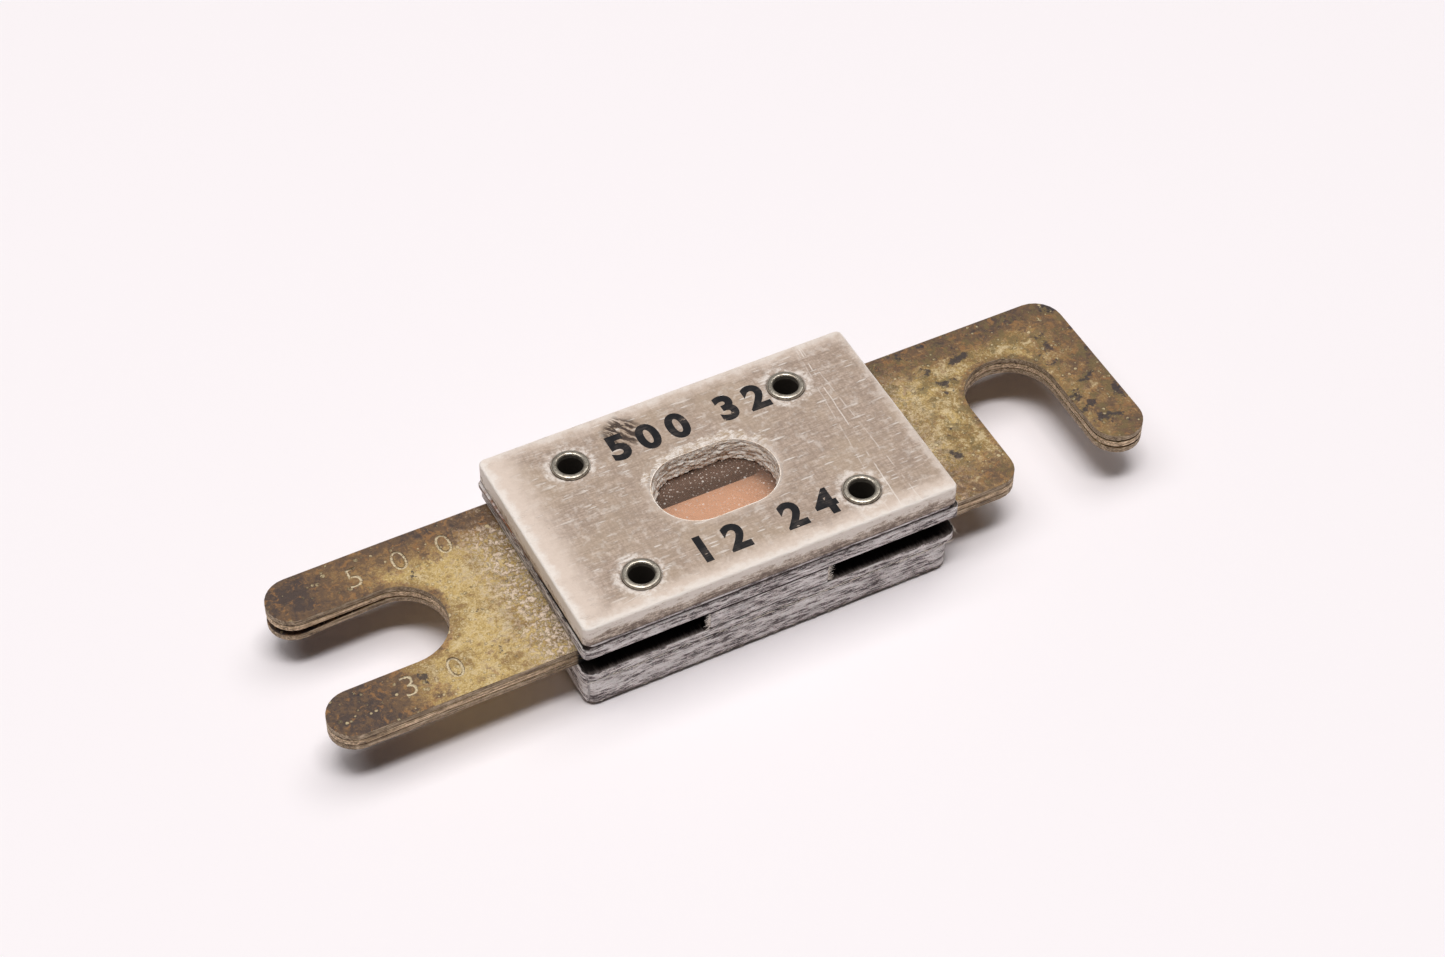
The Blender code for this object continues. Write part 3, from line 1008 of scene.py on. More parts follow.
@dataclass(frozen=True)
class ClearSheetFinish:
    """Thin clear sheet, dusty over the window, grey at its cut sides and gummy at the left."""

    film: Colour = (0.43, 0.28, 0.21)
    dust: Colour = (0.92, 0.86, 0.8)
    seam: Colour = (0.06, 0.028, 0.02)
    gum: Colour = (0.3, 0.13, 0.065)
    side_dark: Colour = (0.14, 0.115, 0.11)
    side_middle: Colour = (0.52, 0.46, 0.45)
    side_light: Colour = (0.9, 0.86, 0.84)

    def build(self, layout: Layout) -> bpy.types.Material:
        """Makes the material for the sheet's layout.

        Args:
            layout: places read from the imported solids.

        Returns:
            The material.
        """
        surface = Surface("dusty_clear_sheet")
        w = surface.wiring
        low = layout.plate_low
        fine = surface.specks(0.22, 0.06, 1.0)
        coarse = surface.specks(0.6, 0.095, 6.0)
        cloud = w.rise(surface.noise(0.9, 5.0, 0.65), 0.4, 0.68)
        ends = w.rise(w.size(w.minus(surface.x, layout.centre[0])), 4.5, 6.0)
        dirty = w.highest(w.product(w.rise(surface.y, 0.9, 2.4), 0.6), ends)
        grime = w.product(dirty, w.total(0.1, w.product(cloud, 0.05)))
        veil = w.total(0.14, w.product(cloud, 0.02), grime)
        dusty = w.highest(
            w.product(fine, w.total(0.35, w.product(dirty, 0.65))),
            w.product(coarse, w.total(0.4, w.product(dirty, 0.6))),
        )
        coats = Coats(w, self.film)
        coats.lay(self.dust, w.highest(w.product(fine, 0.6), coarse))

        tones = ((0.3, self.side_dark), (0.46, self.side_middle), (0.66, self.side_light))
        edge = Coats(w, w.ramp(surface.laminate(23.0)["Tone"], tones))
        left = w.rise(surface.nx, -0.4, -0.8)
        edge.lay(self.gum, w.rise(surface.noise(0.9, 4.0), 0.42, 0.56), left, 0.75)
        line = w.total(surface.z, w.product(surface.noise(0.8), 0.12))
        edge.lay(self.seam, w.rise(line, low.z - 0.14, low.z - 0.06), 0.9)
        side = w.rise(w.size(surface.nz), 0.8, 0.4)
        coats.lay(edge.colour, side)
        lip = w.product(w.rise(surface.x, low.x + 0.35, low.x), w.rest(side))
        coats.lay(w.mix(cloud, self.gum, self.side_light), lip)
        alpha = w.highest(dusty, veil, side, lip)
        return surface.set(
            Base_Color=coats.colour, Roughness=0.35, Alpha=alpha, Specular_IOR_Level=0.3
        )


@dataclass(frozen=True)
class TarnishedStripFinish:
    """Rolled metal strip: blotched olive tarnish, near black towards the tips."""

    name: str
    seed: float = 0.0
    edge_light_gain: float = 1.0
    yellow: Colour = (0.58, 0.41, 0.15)
    olive: Colour = (0.36, 0.235, 0.08)
    pale: Colour = (0.76, 0.62, 0.38)
    orange: Colour = (0.4, 0.2, 0.07)
    brown: Colour = (0.25, 0.14, 0.065)
    dark: Colour = (0.15, 0.09, 0.054)
    black: Colour = (0.048, 0.038, 0.043)
    crust: Colour = (0.88, 0.72, 0.59)
    flake: Colour = (0.74, 0.6, 0.36)
    burnish: Colour = (0.84, 0.72, 0.5)
    moss: Colour = (0.19, 0.14, 0.06)
    copper: Colour = (0.88, 0.48, 0.29)
    recessed_edge_shade: Colour = (0.01, 0.008, 0.007)
    edge_dark: Colour = (0.08, 0.052, 0.035)
    edge_middle: Colour = (0.4, 0.28, 0.165)
    edge_light: Colour = (0.85, 0.67, 0.47)

    def build(self, layout: Layout) -> bpy.types.Material:
        """Makes the material for the strips' layout.

        Args:
            layout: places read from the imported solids.

        Returns:
            The material.
        """
        surface = Surface(self.name)
        w, x = surface.wiring, surface.x
        place = w.shifted(surface.place, Vector((self.seed, self.seed, 0.0)))
        broad = w.noise(place, 0.3, 6.0, 0.65)
        blots = w.noise(place, 1.0, 6.0, 0.72, 0.4)
        fine = w.noise(place, 3.4, 5.0, 0.75, 0.3)
        left = w.rise(x, 0.0, -20.0)
        coats = Coats(w, self.olive)
        coats.lay(self.yellow, w.rise(w.total(broad, w.product(left, 0.08), -0.04), 0.43, 0.56))
        coats.lay(self.pale, w.rise(blots, 0.5, 0.62), 0.5)
        coats.lay(self.brown, w.rise(blots, 0.49, 0.38), 0.55)
        dust = w.noise(place, 6.5, 4.0, 0.75)
        grains = w.weighted((dust, 0.6), (blots, 0.2), (fine, 0.2), (left, 0.012))
        coats.lay(self.pale, w.rise(grains, 0.52, 0.57), 0.6)
        coats.lay(self.brown, w.rise(grains, 0.48, 0.43), 0.5)

        clouds = ((broad, 1.6), (blots, 1.7), (fine, 1.2))
        uneven = w.weighted(*((w.minus(cloud, 0.5), weight) for cloud, weight in clouds))
        shade = w.total(self.shade(surface, layout), uneven)
        rusty = w.product(w.rise(w.noise(place, 0.8, 5.0, 0.7), 0.48, 0.62), 0.75)
        coats.lay(w.mix(rusty, self.brown, self.orange), w.rise(shade, 0.2, 0.5), 0.75)
        coats.lay(self.dark, w.rise(shade, 0.45, 0.78), 0.9)
        coats.lay(self.black, w.rise(shade, 0.8, 1.2), 0.7)
        ember = w.rise(w.noise(place, 1.1, 5.0, 0.7, 0.6), 0.54, 0.62)
        coats.lay(self.orange, ember, w.rise(shade, 0.4, 0.8), 0.6)

        patches = w.noise(place, 0.85, 6.0, 0.72, 0.5)
        right = w.rise(x, 8.0, 26.0)
        coats.lay(self.moss, w.rise(patches, 0.5, 0.58), right, 0.7)
        bare = w.product(right, w.rise(shade, 0.6, 0.2), 0.6)
        coats.lay(self.pale, w.rise(patches, 0.46, 0.38), bare)
        outward = w.size(x)
        crust = w.rise(w.total(outward, w.product(uneven, -2.5)), 24.5, 18.8)
        crust = w.product(crust, w.rise(outward, 14.0, 17.0), w.rest(w.product(right, 0.7)))
        crust = w.product(crust, w.rise(shade, 0.9, 0.35))
        crumbs = w.rise(w.noise(place, 2.4, 5.0, 0.75, 0.5), 0.46, 0.55)
        pits = w.rise(w.noise(place, 2.9, 5.0, 0.75, 0.9), 0.56, 0.61)
        coats.lay(self.crust, crust, crumbs, 0.9)
        coats.lay(w.mix(rusty, self.dark, self.orange), crust, pits, 0.7)
        flakes = w.highest(
            surface.specks(0.8, 0.17, 5.0, place), surface.specks(0.45, 0.12, 3.0, place)
        )
        flakes = w.product(flakes, w.rise(w.total(blots, w.product(shade, -0.07)), 0.38, 0.5))
        coats.lay(self.flake, flakes, 0.75)
        blue = w.total(w.noise(place, 0.42, 5.0, 0.65), w.product(w.rise(x, 10.0, 36.0), 0.08))
        coats.lay(self.black, w.rise(blue, 0.64, 0.69), 0.85)
        coats.lay(self.burnish, self.stamped(surface, layout), w.rise(fine, 0.35, 0.5), 0.9)

        side = w.rise(w.size(surface.nz), 0.85, 0.5)
        coats.lay(self.edge(surface), side)
        # Painted shade: the strips' edges inside the body, seen only in the gaps between the
        # boards, are near black.
        coats.lay(self.recessed_edge_shade, side, w.rise(outward, 18.6, 18.2))
        neck = w.product(
            w.rise(w.size(w.minus(x, layout.centre[0])), 8.0, 6.2),
            w.rise(w.size(w.minus(surface.y, layout.strip_centre_y)), 3.6, 2.8),
        )
        coats.lay(self.copper, neck)
        relief = w.weighted((blots, 0.7), (fine, 0.9))
        height = w.total(relief, w.product(crust, crumbs, 0.6), flakes)
        height = w.product(height, w.rest(w.product(neck, 0.8)))
        return surface.set(
            Base_Color=coats.colour,
            Roughness=w.total(0.44, w.product(fine, 0.3)),
            Metallic=0.3,
            Normal=w.bump(height, 0.08),
        )

    def stamped(self, surface: Surface, layout: Layout) -> Socket:
        """The floors of the stamped numerals on the left prongs.

        Args:
            surface: the surface that is coloured.
            layout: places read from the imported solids.

        Returns:
            1 on a floor and 0 elsewhere.
        """
        w, x, z = surface.wiring, surface.x, surface.z
        top = layout.strips_top
        prongs = w.product(w.rise(x, -34.0, -33.2), w.rise(x, -22.0, -23.0))
        below, above = w.rise(z, top - 0.085, top - 0.1), w.rise(z, top - 0.25, top - 0.2)
        return w.product(below, above, prongs)

    def edge(self, surface: Surface) -> Socket:
        """Colour of the sheared edges: tan, with dark rolling lines, made lighter or darker strip
        by strip by painted light.

        Args:
            surface: the surface that is coloured.

        Returns:
            The colour.
        """
        w = surface.wiring
        lines = surface.streaks(3.5, 0.13, self.seed)
        tone = w.weighted((lines, 0.35), (surface.noise(1.5, 4.0, 0.7), 0.65))
        # Painted light: each strip's edge is scaled by its gain, the middle strip's brightest.
        middle = tuple(part * self.edge_light_gain for part in self.edge_middle)
        light = tuple(part * self.edge_light_gain for part in self.edge_light)
        return w.ramp(tone, ((0.25, self.edge_dark), (0.48, middle), (0.72, light)))

    def shade(self, surface: Surface, layout: Layout) -> Socket:
        """How dark the tarnish is: at the tips, the back edge, the hook's end and the slots.

        Args:
            surface: the surface that is coloured.
            layout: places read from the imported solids.

        Returns:
            The darkness, from 0 to about 1.
        """
        w, x, y = surface.wiring, surface.x, surface.y
        back = w.product(w.rise(y, 3.9, 9.2), 0.9)
        prongs = w.product(w.rise(x, -27.0, -37.0), 1.05)
        hook = w.product(w.rise(x, 32.0, 39.5), 0.72)
        blade = w.product(w.rise(x, 12.0, 20.0), w.rise(y, -1.0, -8.0), 0.55)
        half = layout.slot_spacing / 2
        aside = w.minus(y, layout.strip_centre_y)
        gap_left = w.length(w.highest(w.minus(half, w.size(x)), 0.0), aside)
        gap_right = w.length(w.minus(x, half), w.highest(aside, 0.0))
        left = w.rise(x, 1.0, -1.0)
        gap = w.total(w.product(gap_left, left), w.product(gap_right, w.rest(left)))
        rim = w.rise(gap, layout.slot_width / 2 + 1.1, layout.slot_width / 2 + 0.2)
        return w.highest(back, prongs, hook, w.product(rim, 0.5), blade)


@dataclass(frozen=True)
class PlatedRivetFinish:
    """Bright nickel plating, dark and dull down the bore: painted shade, partly dirt."""

    plating: Colour = (0.56, 0.51, 0.43)
    stain: Colour = (0.3, 0.25, 0.2)
    bore: Colour = (0.035, 0.027, 0.02)

    def build(self, layout: Layout) -> bpy.types.Material:
        """Makes the material for the rivets' places.

        Args:
            layout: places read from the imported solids.

        Returns:
            The material.
        """
        surface = Surface("nickel_plating")
        w, head = surface.wiring, layout.rivet_high
        cloud = surface.noise(2.2, 4.0, 0.6)
        inside = w.rise(surface.rivet_distance(layout), 1.35, 1.22)
        # Painted shade down the bore, partly dirt: darker, rougher and less metallic.
        deep = w.product(inside, w.rise(surface.z, head - 0.22, head - 0.6))
        coats = Coats(w, self.plating)
        coats.lay(self.stain, w.rise(cloud, 0.45, 0.7))
        coats.lay(self.bore, deep)
        return surface.set(
            Base_Color=coats.colour,
            Roughness=w.total(0.22, w.product(cloud, 0.2), w.product(deep, 0.4)),
            Metallic=w.minus(0.75, w.product(deep, 0.7)),
            Normal=w.bump(cloud, 0.03),
        )


@dataclass(frozen=True)
class PrintInkFinish:
    """Black stamped ink, thin where the fibres stand proud."""

    ink: Colour = (0.012, 0.012, 0.014)
    thin: Colour = (0.07, 0.058, 0.053)

    def build(self) -> bpy.types.Material:
        """Makes the material.

        Returns:
            The material.
        """
        surface = Surface("black_print_ink")
        w = surface.wiring
        worn = w.product(surface.streaks(0.9, 0.13, 1.0), w.rise(surface.noise(0.8), 0.4, 0.7))
        colour = w.mix(worn, self.ink, self.thin)
        alpha = w.rise(w.total(worn, w.product(surface.noise(5.0), 0.2)), 0.98, 0.8)
        return surface.set(Base_Color=colour, Roughness=0.7, Alpha=alpha, Specular_IOR_Level=0.2)


@dataclass(frozen=True)
class TornFibreFinish:
    """Broken ends of glass fibre, pale with brown resin."""

    name: str
    pale: Colour = (0.99, 0.94, 0.88)
    brown: Colour = (0.66, 0.49, 0.34)
    grey: Colour = (0.95, 0.84, 0.74)

    def build(self) -> bpy.types.Material:
        """Makes the material.

        Returns:
            The material.
        """
        surface = Surface(self.name)
        w = surface.wiring
        axes = zip((surface.x, surface.y, surface.z), (0.6, 0.6, 3.4))
        stretched = w.vector(*(w.product(*pair) for pair in axes))
        layers = w.noise(stretched, 1.7, 5.0, 0.7, 0.5)
        plies = w.weighted((layers, 0.6), (surface.noise(4.0, 4.0, 0.7), 0.4))
        colour = w.ramp(plies, ((0.4, self.brown), (0.48, self.grey), (0.56, self.pale)))
        return surface.set(
            Base_Color=colour, Roughness=0.75, Normal=w.bump(plies, 0.16), Specular_IOR_Level=0.35
        )


@dataclass(frozen=True)
class TableFinish:
    """Plain pale table top."""

    colour: Colour = (0.95, 0.905, 0.93)

    def build(self) -> bpy.types.Material:
        """Makes the material.

        Returns:
            The material.
        """
        return Surface("pale_table").set(
            Base_Color=self.colour, Roughness=0.6, Specular_IOR_Level=0.2
        )


@dataclass
class TubularRivet:
    """Tubular rivet with a rolled head and a rolled foot."""

    name: str
    place: tuple[float, float]
    low: float
    high: float
    shank: float = 2.9
    wall: float = 0.27
    head_lip: float = 0.3
    head_height: float = 0.4
    foot_lip: float = 0.5
    foot_height: float = 0.24
    round_steps: int = 8
    turn_steps: int = 64

    def profile(self) -> list[tuple[float, float]]:
        """Section of the tube's wall, as radius and height, from the foot's outer edge round.

        Returns:
            The section's points in order, the first one again at the end.
        """
        outer = self.shank / 2
        bore = outer - self.wall
        head = outer + self.head_lip
        foot = outer + self.foot_lip
        head_roll = self.head_height / 2
        foot_roll = self.foot_height / 2
        head_mouth = (head - head_roll - bore) / 2
        foot_mouth = (foot - foot_roll - bore) / 2
        points = [
            *self.bend(foot - foot_roll, self.low + foot_roll, foot_roll, -90, 90),
            (outer, self.low + self.foot_height),
            (outer, self.high - self.head_height),
            *self.bend(head - head_roll, self.high - head_roll, head_roll, -90, 90),
            *self.bend(bore + head_mouth, self.high - head_mouth, head_mouth, 90, 180),
            *self.bend(bore + foot_mouth, self.low + foot_mouth, foot_mouth, 180, 270),
        ]
        return [*points, points[0]]

    def bend(
        self, radius: float, height: float, size: float, start: float, end: float
    ) -> list[tuple[float, float]]:
        """Points round one bend of the wall, between two angles in degrees.

        Args:
            radius: distance of the bend's centre from the axis.
            height: level of the bend's centre.
            size: radius of the bend.
            start: first angle.
            end: last angle.

        Returns:
            The points, as radius and height.
        """
        points = []
        for i in range(self.round_steps + 1):
            angle = math.radians(start + (end - start) * i / self.round_steps)
            points.append((radius + size * math.cos(angle), height + size * math.sin(angle)))
        return points

    def build(self, material: bpy.types.Material) -> None:
        """Draws the section point by point and spins it round the rivet's axis.

        Args:
            material: the plating.
        """
        x, y = self.place
        points = self.profile()
        bpy.ops.mesh.primitive_plane_add(size=0.1, location=(0, 0, 0))
        rivet = bpy.context.object
        with Editing(rivet) as editing:
            bpy.ops.mesh.select_mode(type="VERT")
            bpy.ops.mesh.merge(type="CENTER")
            editing.move((x + points[0][0], y, points[0][1]))
            for (r0, z0), (r1, z1) in zip(points, points[1:]):
                step = (r1 - r0, 0, z1 - z0)
                bpy.ops.mesh.extrude_vertices_move(TRANSFORM_OT_translate={"value": step})
            editing.everything()
            bpy.ops.mesh.spin(
                steps=self.turn_steps, angle=2 * math.pi, center=(x, y, 0), axis=(0, 0, 1)
            )
            editing.select(Part.VERTS, lambda c: True)
            bpy.ops.mesh.remove_doubles(threshold=0.001)
            bpy.ops.mesh.normals_make_consistent(inside=False)
        finish_piece(rivet, "rolled_" + self.name, material, Slot.RIVET_PLATING, 60.0)
        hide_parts(self.name)


@dataclass
class Numerals:
    """Row of plain numerals, as a thin solid."""

    text: str
    place: tuple[float, float]
    level: float
    height: float
    thickness: float
    weight: float
    pitch: float

    def solid(self) -> bpy.types.Object:
        """Models the row in millimetres.

        Returns:
            The row, whose middle is at the place and whose underside is at the level.
        """
        bpy.ops.object.text_add(location=(0, 0, 0))
        row = bpy.context.object
        row.data.body = self.text
        row.data.size = self.height * 1.4
        row.data.space_character = self.pitch
        row.data.offset = self.weight
        row.data.resolution_u = 6
        row.data.extrude = self.thickness / 2
        row.data.align_x = "CENTER"
        row.data.align_y = "CENTER"
        only(row)
        bpy.ops.object.convert(target="MESH")
        row = bpy.context.object
        row.location = (*self.place, self.level + self.thickness / 2)
        settle(row)
        with Editing(row) as editing:
            editing.merge()
        return row


@dataclass
class MetalStrips:
    """The three strips, smooth in their bends, with numerals stamped into the top one."""

    layout: Layout
    stamp_depth: float = 0.14
    stamp_height: float = 2.4
    cutter_height: float = 1.0

    def stamp(self, strip: bpy.types.Object) -> None:
        """Cuts the stamped rows into a strip whose flat triangles are first made whole faces.

        Args:
            strip: the top strip, in millimetres.
        """
        with Editing(strip) as editing:
            editing.everything()
            bpy.ops.mesh.dissolve_limited(angle_limit=math.radians(0.2))
        level = self.layout.strips_top - self.stamp_depth
        for text, place in (("5 0 0", (-28.0, 6.9)), ("3 0", (-30.6, -6.4))):
            row = Numerals(text, place, level, self.stamp_height, self.cutter_height, -0.02, 1.5)
            cut_away(strip, row.solid())
        with Editing(strip) as editing:
            editing.everything()
            bpy.ops.mesh.dissolve_degenerate(threshold=0.001)

    def build(self, nodes: dict[str, bpy.types.Object]) -> None:
        """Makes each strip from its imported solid.

        Args:
            nodes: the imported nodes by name.
        """
        # The second number of each strip is the gain of painted light on its edge.
        looks = {"top": (0.0, 0.75), "middle": (31.0, 1.25), "bottom": (57.0, 0.8)}
        for level, (seed, edge_light_gain) in looks.items():
            name = "strip_" + level
            strip = merged_copy(nodes[name])
            if level == "top":
                self.stamp(strip)
            finish = TarnishedStripFinish("tarnished_metal_" + level, seed, edge_light_gain)
            material = finish.build(self.layout)
            finish_piece(strip, "rolled_" + name, material, Slot.STRIP_METAL, 30.0)
            keep_planes_flat(strip)
            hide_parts(name)


@dataclass
class WindowLining:
    """Torn wall of the window, where the plies of the board have frayed."""

    layout: Layout
    low: float
    high: float
    wall_gap: float = 0.03
    rings: int = 22
    thickness: float = 0.06
    back_tear: float = 0.34
    front_tear: float = 0.1
    plies: int = 6
    ply_share: float = 0.45
    fray_share: float = 0.42
    slope: float = 1.1

    def build(self, material: bpy.types.Material) -> None:
        """Extrudes the window's outline down its wall and tears it ply by ply.

        Args:
            material: torn fibre.
        """
        half = self.layout.window_straight / 2
        radius = self.layout.window_width / 2 - self.wall_gap
        bpy.ops.mesh.primitive_circle_add(vertices=160, radius=radius, location=(0, 0, 0))
        lining = bpy.context.object
        with Editing(lining) as editing:
            editing.select(Part.VERTS, lambda c: c[0].x > 0.001)
            editing.move((half, 0, 0))
            editing.select(Part.VERTS, lambda c: c[0].x < -0.001)
            editing.move((-half, 0, 0))
            editing.select(Part.EDGES, lambda c: (c[0] - c[1]).length > 0.5)
            bpy.ops.mesh.subdivide(number_cuts=12)
            editing.select(Part.EDGES, lambda c: True)
            editing.move((*self.layout.centre, self.high))
            step = (0, 0, (self.low - self.high) / self.rings)
            for _ in range(self.rings):
                bpy.ops.mesh.extrude_region_move(TRANSFORM_OT_translate={"value": step})
        for vert in lining.data.vertices:
            vert.co = self.torn(vert.co, half)
        wall = lining.modifiers.new("thickness", "SOLIDIFY")
        wall.thickness = self.thickness
        wall.offset = 0.0
        apply_modifiers(lining)
        with Editing(lining) as editing:
            editing.face_outwards()
        finish_piece(lining, "window_torn_wall", material, Slot.PALE_BOARD, 50.0)

    def torn(self, point: Vector, half: float) -> Vector:
        """Where a point of the wall ends up once it has frayed.

        Args:
            point: its place on the clean wall.
            half: half the length of the window's straight sides.

        Returns:
            Its new place, moved inwards and down.
        """
        centre = Vector((*self.layout.centre, 0))
        flat = Vector((point.x - centre.x, point.y - centre.y, 0))
        core = Vector((max(-half, min(half, flat.x)), 0, 0))
        outward = (flat - core).normalized()
        back = (1 + outward.y) / 2
        tear = self.front_tear + (self.back_tear - self.front_tear) * back
        depth = (self.high - point.z) / (self.high - self.low)
        ply = math.floor(depth * self.plies + 0.7 * noise.noise(flat * 0.5))
        shift = noise.noise(Vector((flat.x * 0.6, flat.y * 0.6, ply * 3.7))) + 0.3
        fray = noise.fractal(Vector((flat.x * 1.7, flat.y * 1.7, point.z * 4.5)), 0.6, 2.1, 4)
        uneven = self.ply_share * shift + self.fray_share * fray + self.slope * depth
        inward = max(0.0, tear * uneven) * min(1.0, depth * self.plies)
        sag = 0.12 * back * depth * noise.noise(flat * 3.1)
        return Vector((point.x, point.y, point.z + sag)) - outward * inward


@dataclass
class LooseFibres:
    """Broken glass fibres that stand out along an edge."""

    name: str
    start: Point
    end: Point
    outward: Point
    count: int
    seed: int
    slot: Slot
    length: tuple[float, float]
    radius: float = 0.028
    lean: float = 0.9
    rise: float = 0.0

    def build(self, material: bpy.types.Material) -> None:
        """Models one tapered fibre and sets its copies along the edge.

        Args:
            material: torn fibre.
        """
        chance = random.Random(self.seed)
        bpy.ops.mesh.primitive_cone_add(
            vertices=5, radius1=self.radius, radius2=self.radius / 4, depth=1.0, location=(0, 0, 0)
        )
        first = bpy.context.object
        with Editing(first) as editing:
            editing.everything()
            editing.move((0, 0, 0.5))
            editing.select(Part.VERTS, lambda c: c[0].z > 0.5)
            editing.move((0.12, 0, 0))
        start, end = Vector(self.start), Vector(self.end)
        along = (end - start).normalized()
        fibres = []
        for _ in range(self.count):
            side = chance.choice((-1, 1))
            drift = chance.uniform(0.5, 1.0) * self.lean * side
            turn = Vector((0, 0, chance.uniform(-0.4, 0.4) + self.rise))
            way = Vector(self.outward) * chance.uniform(0.1, 0.5) + along * drift + turn
            size = chance.uniform(*self.length)
            place = start.lerp(end, chance.random())
            place.z += chance.uniform(-0.04, 0.04)
            fibre = linked(self.name, first.data.copy())
            turned = way.normalized().to_track_quat("Z", "X").to_matrix().to_4x4()
            stretch = Matrix.Diagonal((1, 1, size, 1))
            fibre.matrix_world = Matrix.Translation(place) @ turned @ stretch
            fibres.append(fibre)
        bpy.data.objects.remove(first, do_unlink=True)
        only(*fibres)
        bpy.ops.object.join()
        finish_piece(fibres[0], self.name, material, self.slot, 60.0)


@dataclass
class Boards:
    """The fibre boards, the clear sheet and what has frayed or been printed on them."""

    layout: Layout
    print_height: float = 2.9
    print_thickness: float = 0.012
    print_lift: float = 0.003
    print_weight: float = 0.17

    def smooth_copies(self, nodes: dict[str, bpy.types.Object]) -> None:
        """Dresses the boards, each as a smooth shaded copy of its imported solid.

        Args:
            nodes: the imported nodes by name.
        """
        finishes = {
            "top_plate": PaleBoardFinish(),
            "upper_inner_plate": GreyBoardFinish("upper_inner_board", seed=1.0),
            "lower_inner_plate": GreyBoardFinish("lower_inner_board", seed=5.0),
            "bottom_plate": GreyBoardFinish("bottom_board", seed=9.0),
            "spacer_front": GreyBoardFinish("front_spacer", seed=13.0, shaded_ends=True),
            "spacer_back": GreyBoardFinish("back_spacer", seed=17.0, shaded_ends=True),
            "window_sheet": ClearSheetFinish(),
        }
        slots = {"top_plate": Slot.PALE_BOARD, "window_sheet": Slot.CLEAR_SHEET}
        for name, finish in finishes.items():
            board = merged_copy(nodes[name])
            slot = slots.get(name, Slot.GREY_BOARD)
            finish_piece(board, "dressed_" + name, finish.build(self.layout), slot, 30.0)
            keep_planes_flat(board)
            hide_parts(name)

    def print_rows(self) -> None:
        """Prints the two rows of plain numerals on the top plate."""
        level = self.layout.plate_high.z + self.print_lift
        ink = PrintInkFinish().build()
        common = (level, self.print_height, self.print_thickness, self.print_weight)
        rows = {
            "printed_numerals_back": Numerals("500 32", (0.5, 6.65), *common, 1.45),
            "printed_numerals_front": Numerals("12 24", (0.85, -7.5), *common, 1.6),
        }
        for name, row in rows.items():
            finish_piece(row.solid(), name, ink, Slot.PALE_BOARD)

    def fray(self) -> None:
        """Adds the torn wall of the window and the fibres along the cut edges."""
        low, high = self.layout.plate_low, self.layout.plate_high
        torn = TornFibreFinish("torn_window_fibre").build()
        stray = TornFibreFinish("stray_edge_fibre", brown=(0.4, 0.33, 0.28)).build()
        WindowLining(self.layout, low.z + 0.05, high.z - 0.2).build(torn)
        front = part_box("upper_inner_plate")[0].y / MM
        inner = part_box("lower_inner_plate")[1] / MM
        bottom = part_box("bottom_plate")
        seam, foot = bottom[1].z / MM, bottom[0].z / MM + 0.12
        x, z = inner.x - 0.15, inner.z - 0.2
        back, rim, left = high.y - 0.22, high.z - 0.2, low.x + 0.2
        grey, pale = Slot.GREY_BOARD, Slot.PALE_BOARD
        rows = (
            LooseFibres(
                "fibres_inner_right", (x, front, z), (x, front + 2.2, z),
                (0.5, -0.3, 0.1), 30, 3, grey, (0.15, 0.4), rise=0.1,
            ),
            LooseFibres(
                "fibres_seam_front", (-17.8, front, seam), (18.0, front, seam),
                (0, -0.05, 0), 170, 11, grey, (0.3, 0.9), lean=1.6,
            ),
            LooseFibres(
                "fibres_bottom_front", (-17.6, front, foot), (17.6, front, foot),
                (0, -1, -0.3), 60, 5, grey, (0.1, 0.35), rise=0.2,
            ),
            *self.spacer_tufts(front),
            LooseFibres(
                "fibres_window_back", (-3.0, 3.58, high.z - 0.5), (2.2, 3.58, high.z - 0.5),
                (0, -0.35, 0), 60, 31, pale, (0.2, 0.7), lean=1.2, rise=-0.1,
            ),
            LooseFibres(
                "fibres_top_back", (-17, back, rim), (17, back, rim),
                (0, 0.2, 0.1), 90, 7, pale, (0.15, 0.45),
            ),
            LooseFibres(
                "fibres_top_left", (left, -10.5, high.z - 0.3), (left, 10.4, high.z - 0.3),
                (-0.1, 0, 0.05), 60, 9, pale, (0.1, 0.3),
            ),
        )
        for row in rows:
            row.build(stray)

    def spacer_tufts(self, front: float) -> list[LooseFibres]:
        """Frayed ends of the front spacer.

        Args:
            front: place of the front side along y.

        Returns:
            One tuft at each end.
        """
        low, high = (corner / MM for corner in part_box("spacer_front"))
        y, foot, top = front + 0.12, low.z + 0.1, high.z - 0.15
        return [
            LooseFibres(
                "fibres_spacer_" + side, (x, y, foot), (x, y, top), (0.9 * way, -0.05, 0.0),
                44, 20 + way, Slot.GREY_BOARD, (0.2, 0.7), lean=0.25, radius=0.045,
            )
            for side, x, way in (("left", low.x, -1), ("right", high.x, 1))
        ]

    def build(self, nodes: dict[str, bpy.types.Object]) -> None:
        """Makes every piece of the boards.

        Args:
            nodes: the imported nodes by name.
        """
        self.smooth_copies(nodes)
        self.fray()
        self.print_rows()


@dataclass(frozen=True)
class SoftBox:
    """Soft rectangular lamp that faces the fuse. Its place and size are metres, its power watts."""

    name: str
    place: Point
    width: float
    height: float
    power: float
    colour: Colour = (1.0, 0.985, 0.975)

    def hang(self) -> None:
        """Hangs the lamp in the scene."""
        data = bpy.data.lights.new(self.name, "AREA")
        data.shape = "RECTANGLE"
        data.size = self.width
        data.size_y = self.height
        data.energy = self.power
        data.color = self.colour
        lamp = linked(self.name, data)
        lamp.location = self.place
        lamp.rotation_euler = Vector(self.place).to_track_quat("Z", "Y").to_euler()


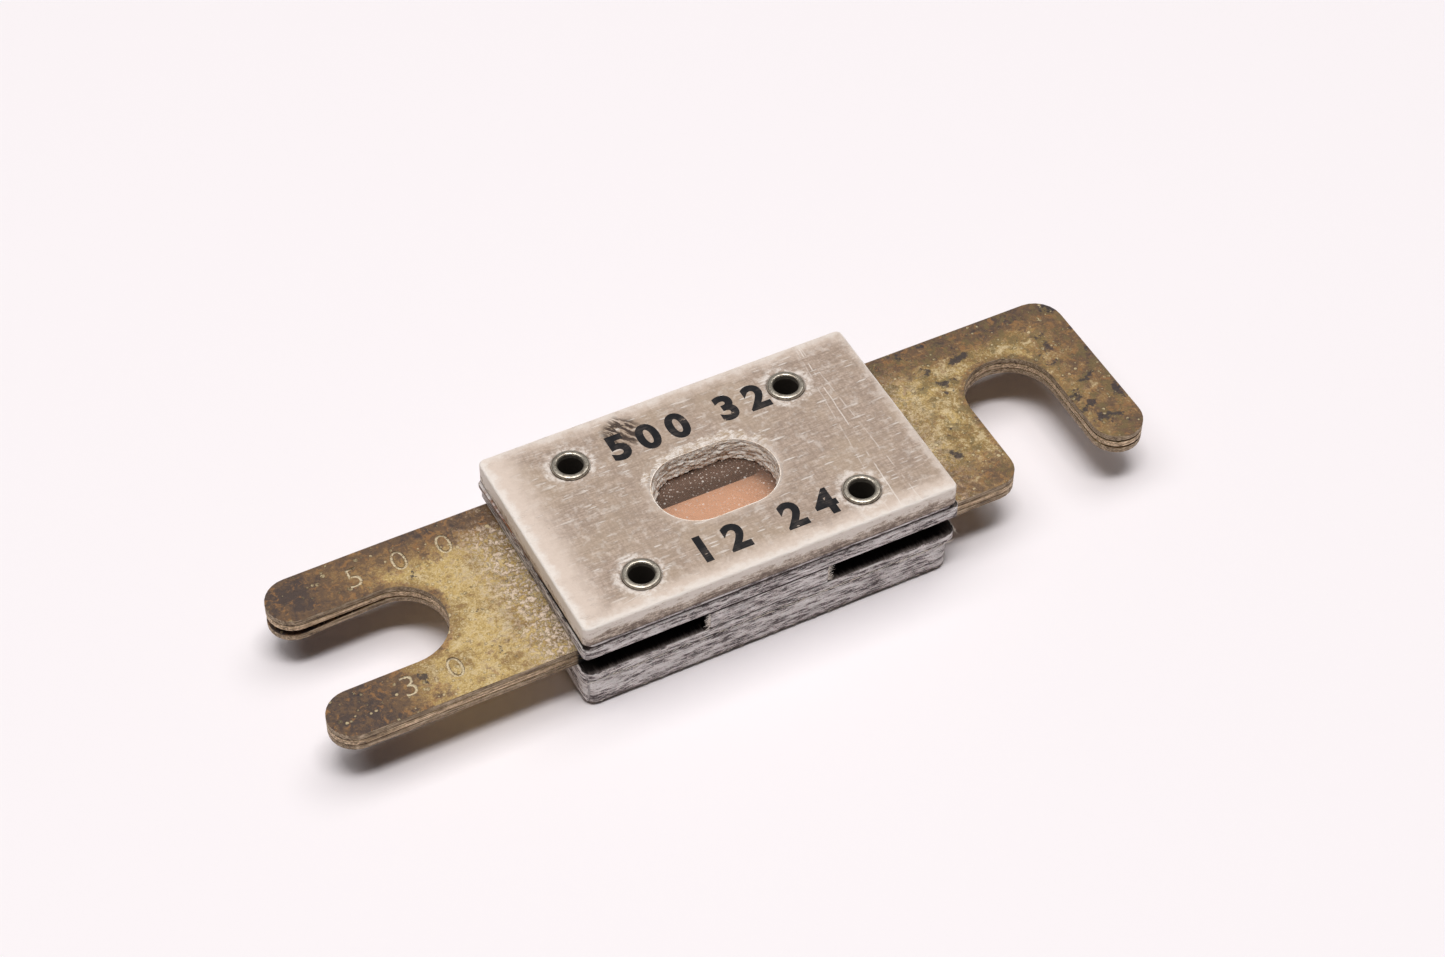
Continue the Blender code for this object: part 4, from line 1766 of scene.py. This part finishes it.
@dataclass(frozen=True)
class Studio:
    """Table, lamps and camera. The camera's angles are degrees and its distances millimetres."""

    azimuth: float = -27.865
    elevation: float = 47.706
    roll: float = 0.705
    distance: float = 275.7
    focal_pixels: float = 3037.8
    target: Point = (2.135, 3.049, 6.0)
    sensor: float = 36.0
    table_size: float = 6.0
    world_light: Colour = (1.0, 0.975, 0.985)
    world_strength: float = 0.04
    world_seen: Colour = (0.96, 0.91, 0.925)
    soft_boxes: tuple[SoftBox, ...] = (
        SoftBox("front_softbox", (-0.03, -0.15, 1.1), 0.6, 0.2, 5.8),
        SoftBox("top_softbox", (0.0, 0.18, 1.0), 1.6, 0.58, 8.1),
    )

    def table(self) -> None:
        """Lays the table under the fuse."""
        bpy.ops.mesh.primitive_plane_add(size=self.table_size, location=(0, 0, 0))
        table = bpy.context.object
        table.name = "table"
        table.data.materials.append(TableFinish().build())

    def lights(self) -> None:
        """Hangs the lamps in a room whose walls are seen paler than they shine."""
        world = bpy.context.scene.world or bpy.data.worlds.new("room")
        bpy.context.scene.world = world
        world.use_nodes = True
        w = Wiring(world.node_tree)
        world.node_tree.nodes.clear()
        shown = {"Color": self.world_light, "Strength": self.world_strength}
        light = w.node("ShaderNodeBackground", shown)
        seen = w.node("ShaderNodeBackground", {"Color": self.world_seen, "Strength": 1.0})
        rays = w.node("ShaderNodeLightPath", {}).outputs
        direct = w.highest(rays["Is Camera Ray"], rays["Is Transmission Ray"])
        both = w.node("ShaderNodeMixShader", {0: direct, 1: light.outputs[0], 2: seen.outputs[0]})
        w.node("ShaderNodeOutputWorld", {0: both.outputs[0]})
        for soft_box in self.soft_boxes:
            soft_box.hang()

    def camera(self) -> None:
        """Sets the camera at the photograph's angle."""
        azimuth, elevation = math.radians(self.azimuth), math.radians(self.elevation)
        level = math.cos(elevation)
        back = Vector((math.sin(azimuth) * level, -math.cos(azimuth) * level, math.sin(elevation)))
        data = bpy.data.cameras.new("camera")
        data.sensor_width = self.sensor
        data.sensor_fit = "HORIZONTAL"
        data.lens = self.focal_pixels / PHOTO_WIDTH * self.sensor
        data.clip_start = 0.005
        right = Vector((0, 0, 1)).cross(back).normalized()
        up = back.cross(right)
        roll = math.radians(self.roll)
        turned_right = right * math.cos(roll) + up * math.sin(roll)
        turned_up = up * math.cos(roll) - right * math.sin(roll)
        turn = Matrix((turned_right, turned_up, back)).transposed().to_4x4()
        camera = linked("camera", data)
        place = (Vector(self.target) + back * self.distance) * MM
        camera.matrix_world = Matrix.Translation(place) @ turn
        bpy.context.scene.camera = camera

    def build(self) -> None:
        """Sets up the whole studio."""
        self.table()
        self.lights()
        self.camera()
        bpy.context.scene.view_settings.view_transform = "Standard"


def main() -> None:
    """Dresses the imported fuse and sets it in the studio."""
    logging.basicConfig(level=logging.INFO, format="%(message)s")
    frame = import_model()
    bpy.ops.object.select_all(action="DESELECT")
    nodes = frame["nodes"]
    layout = Layout.read(nodes)
    Boards(layout).build(nodes)
    MetalStrips(layout).build(nodes)
    plating = PlatedRivetFinish().build(layout)
    for name, place in layout.rivets.items():
        TubularRivet(name, place, layout.rivet_low, layout.rivet_high).build(plating)
    Studio().build()


if __name__ == "__main__":
    main()
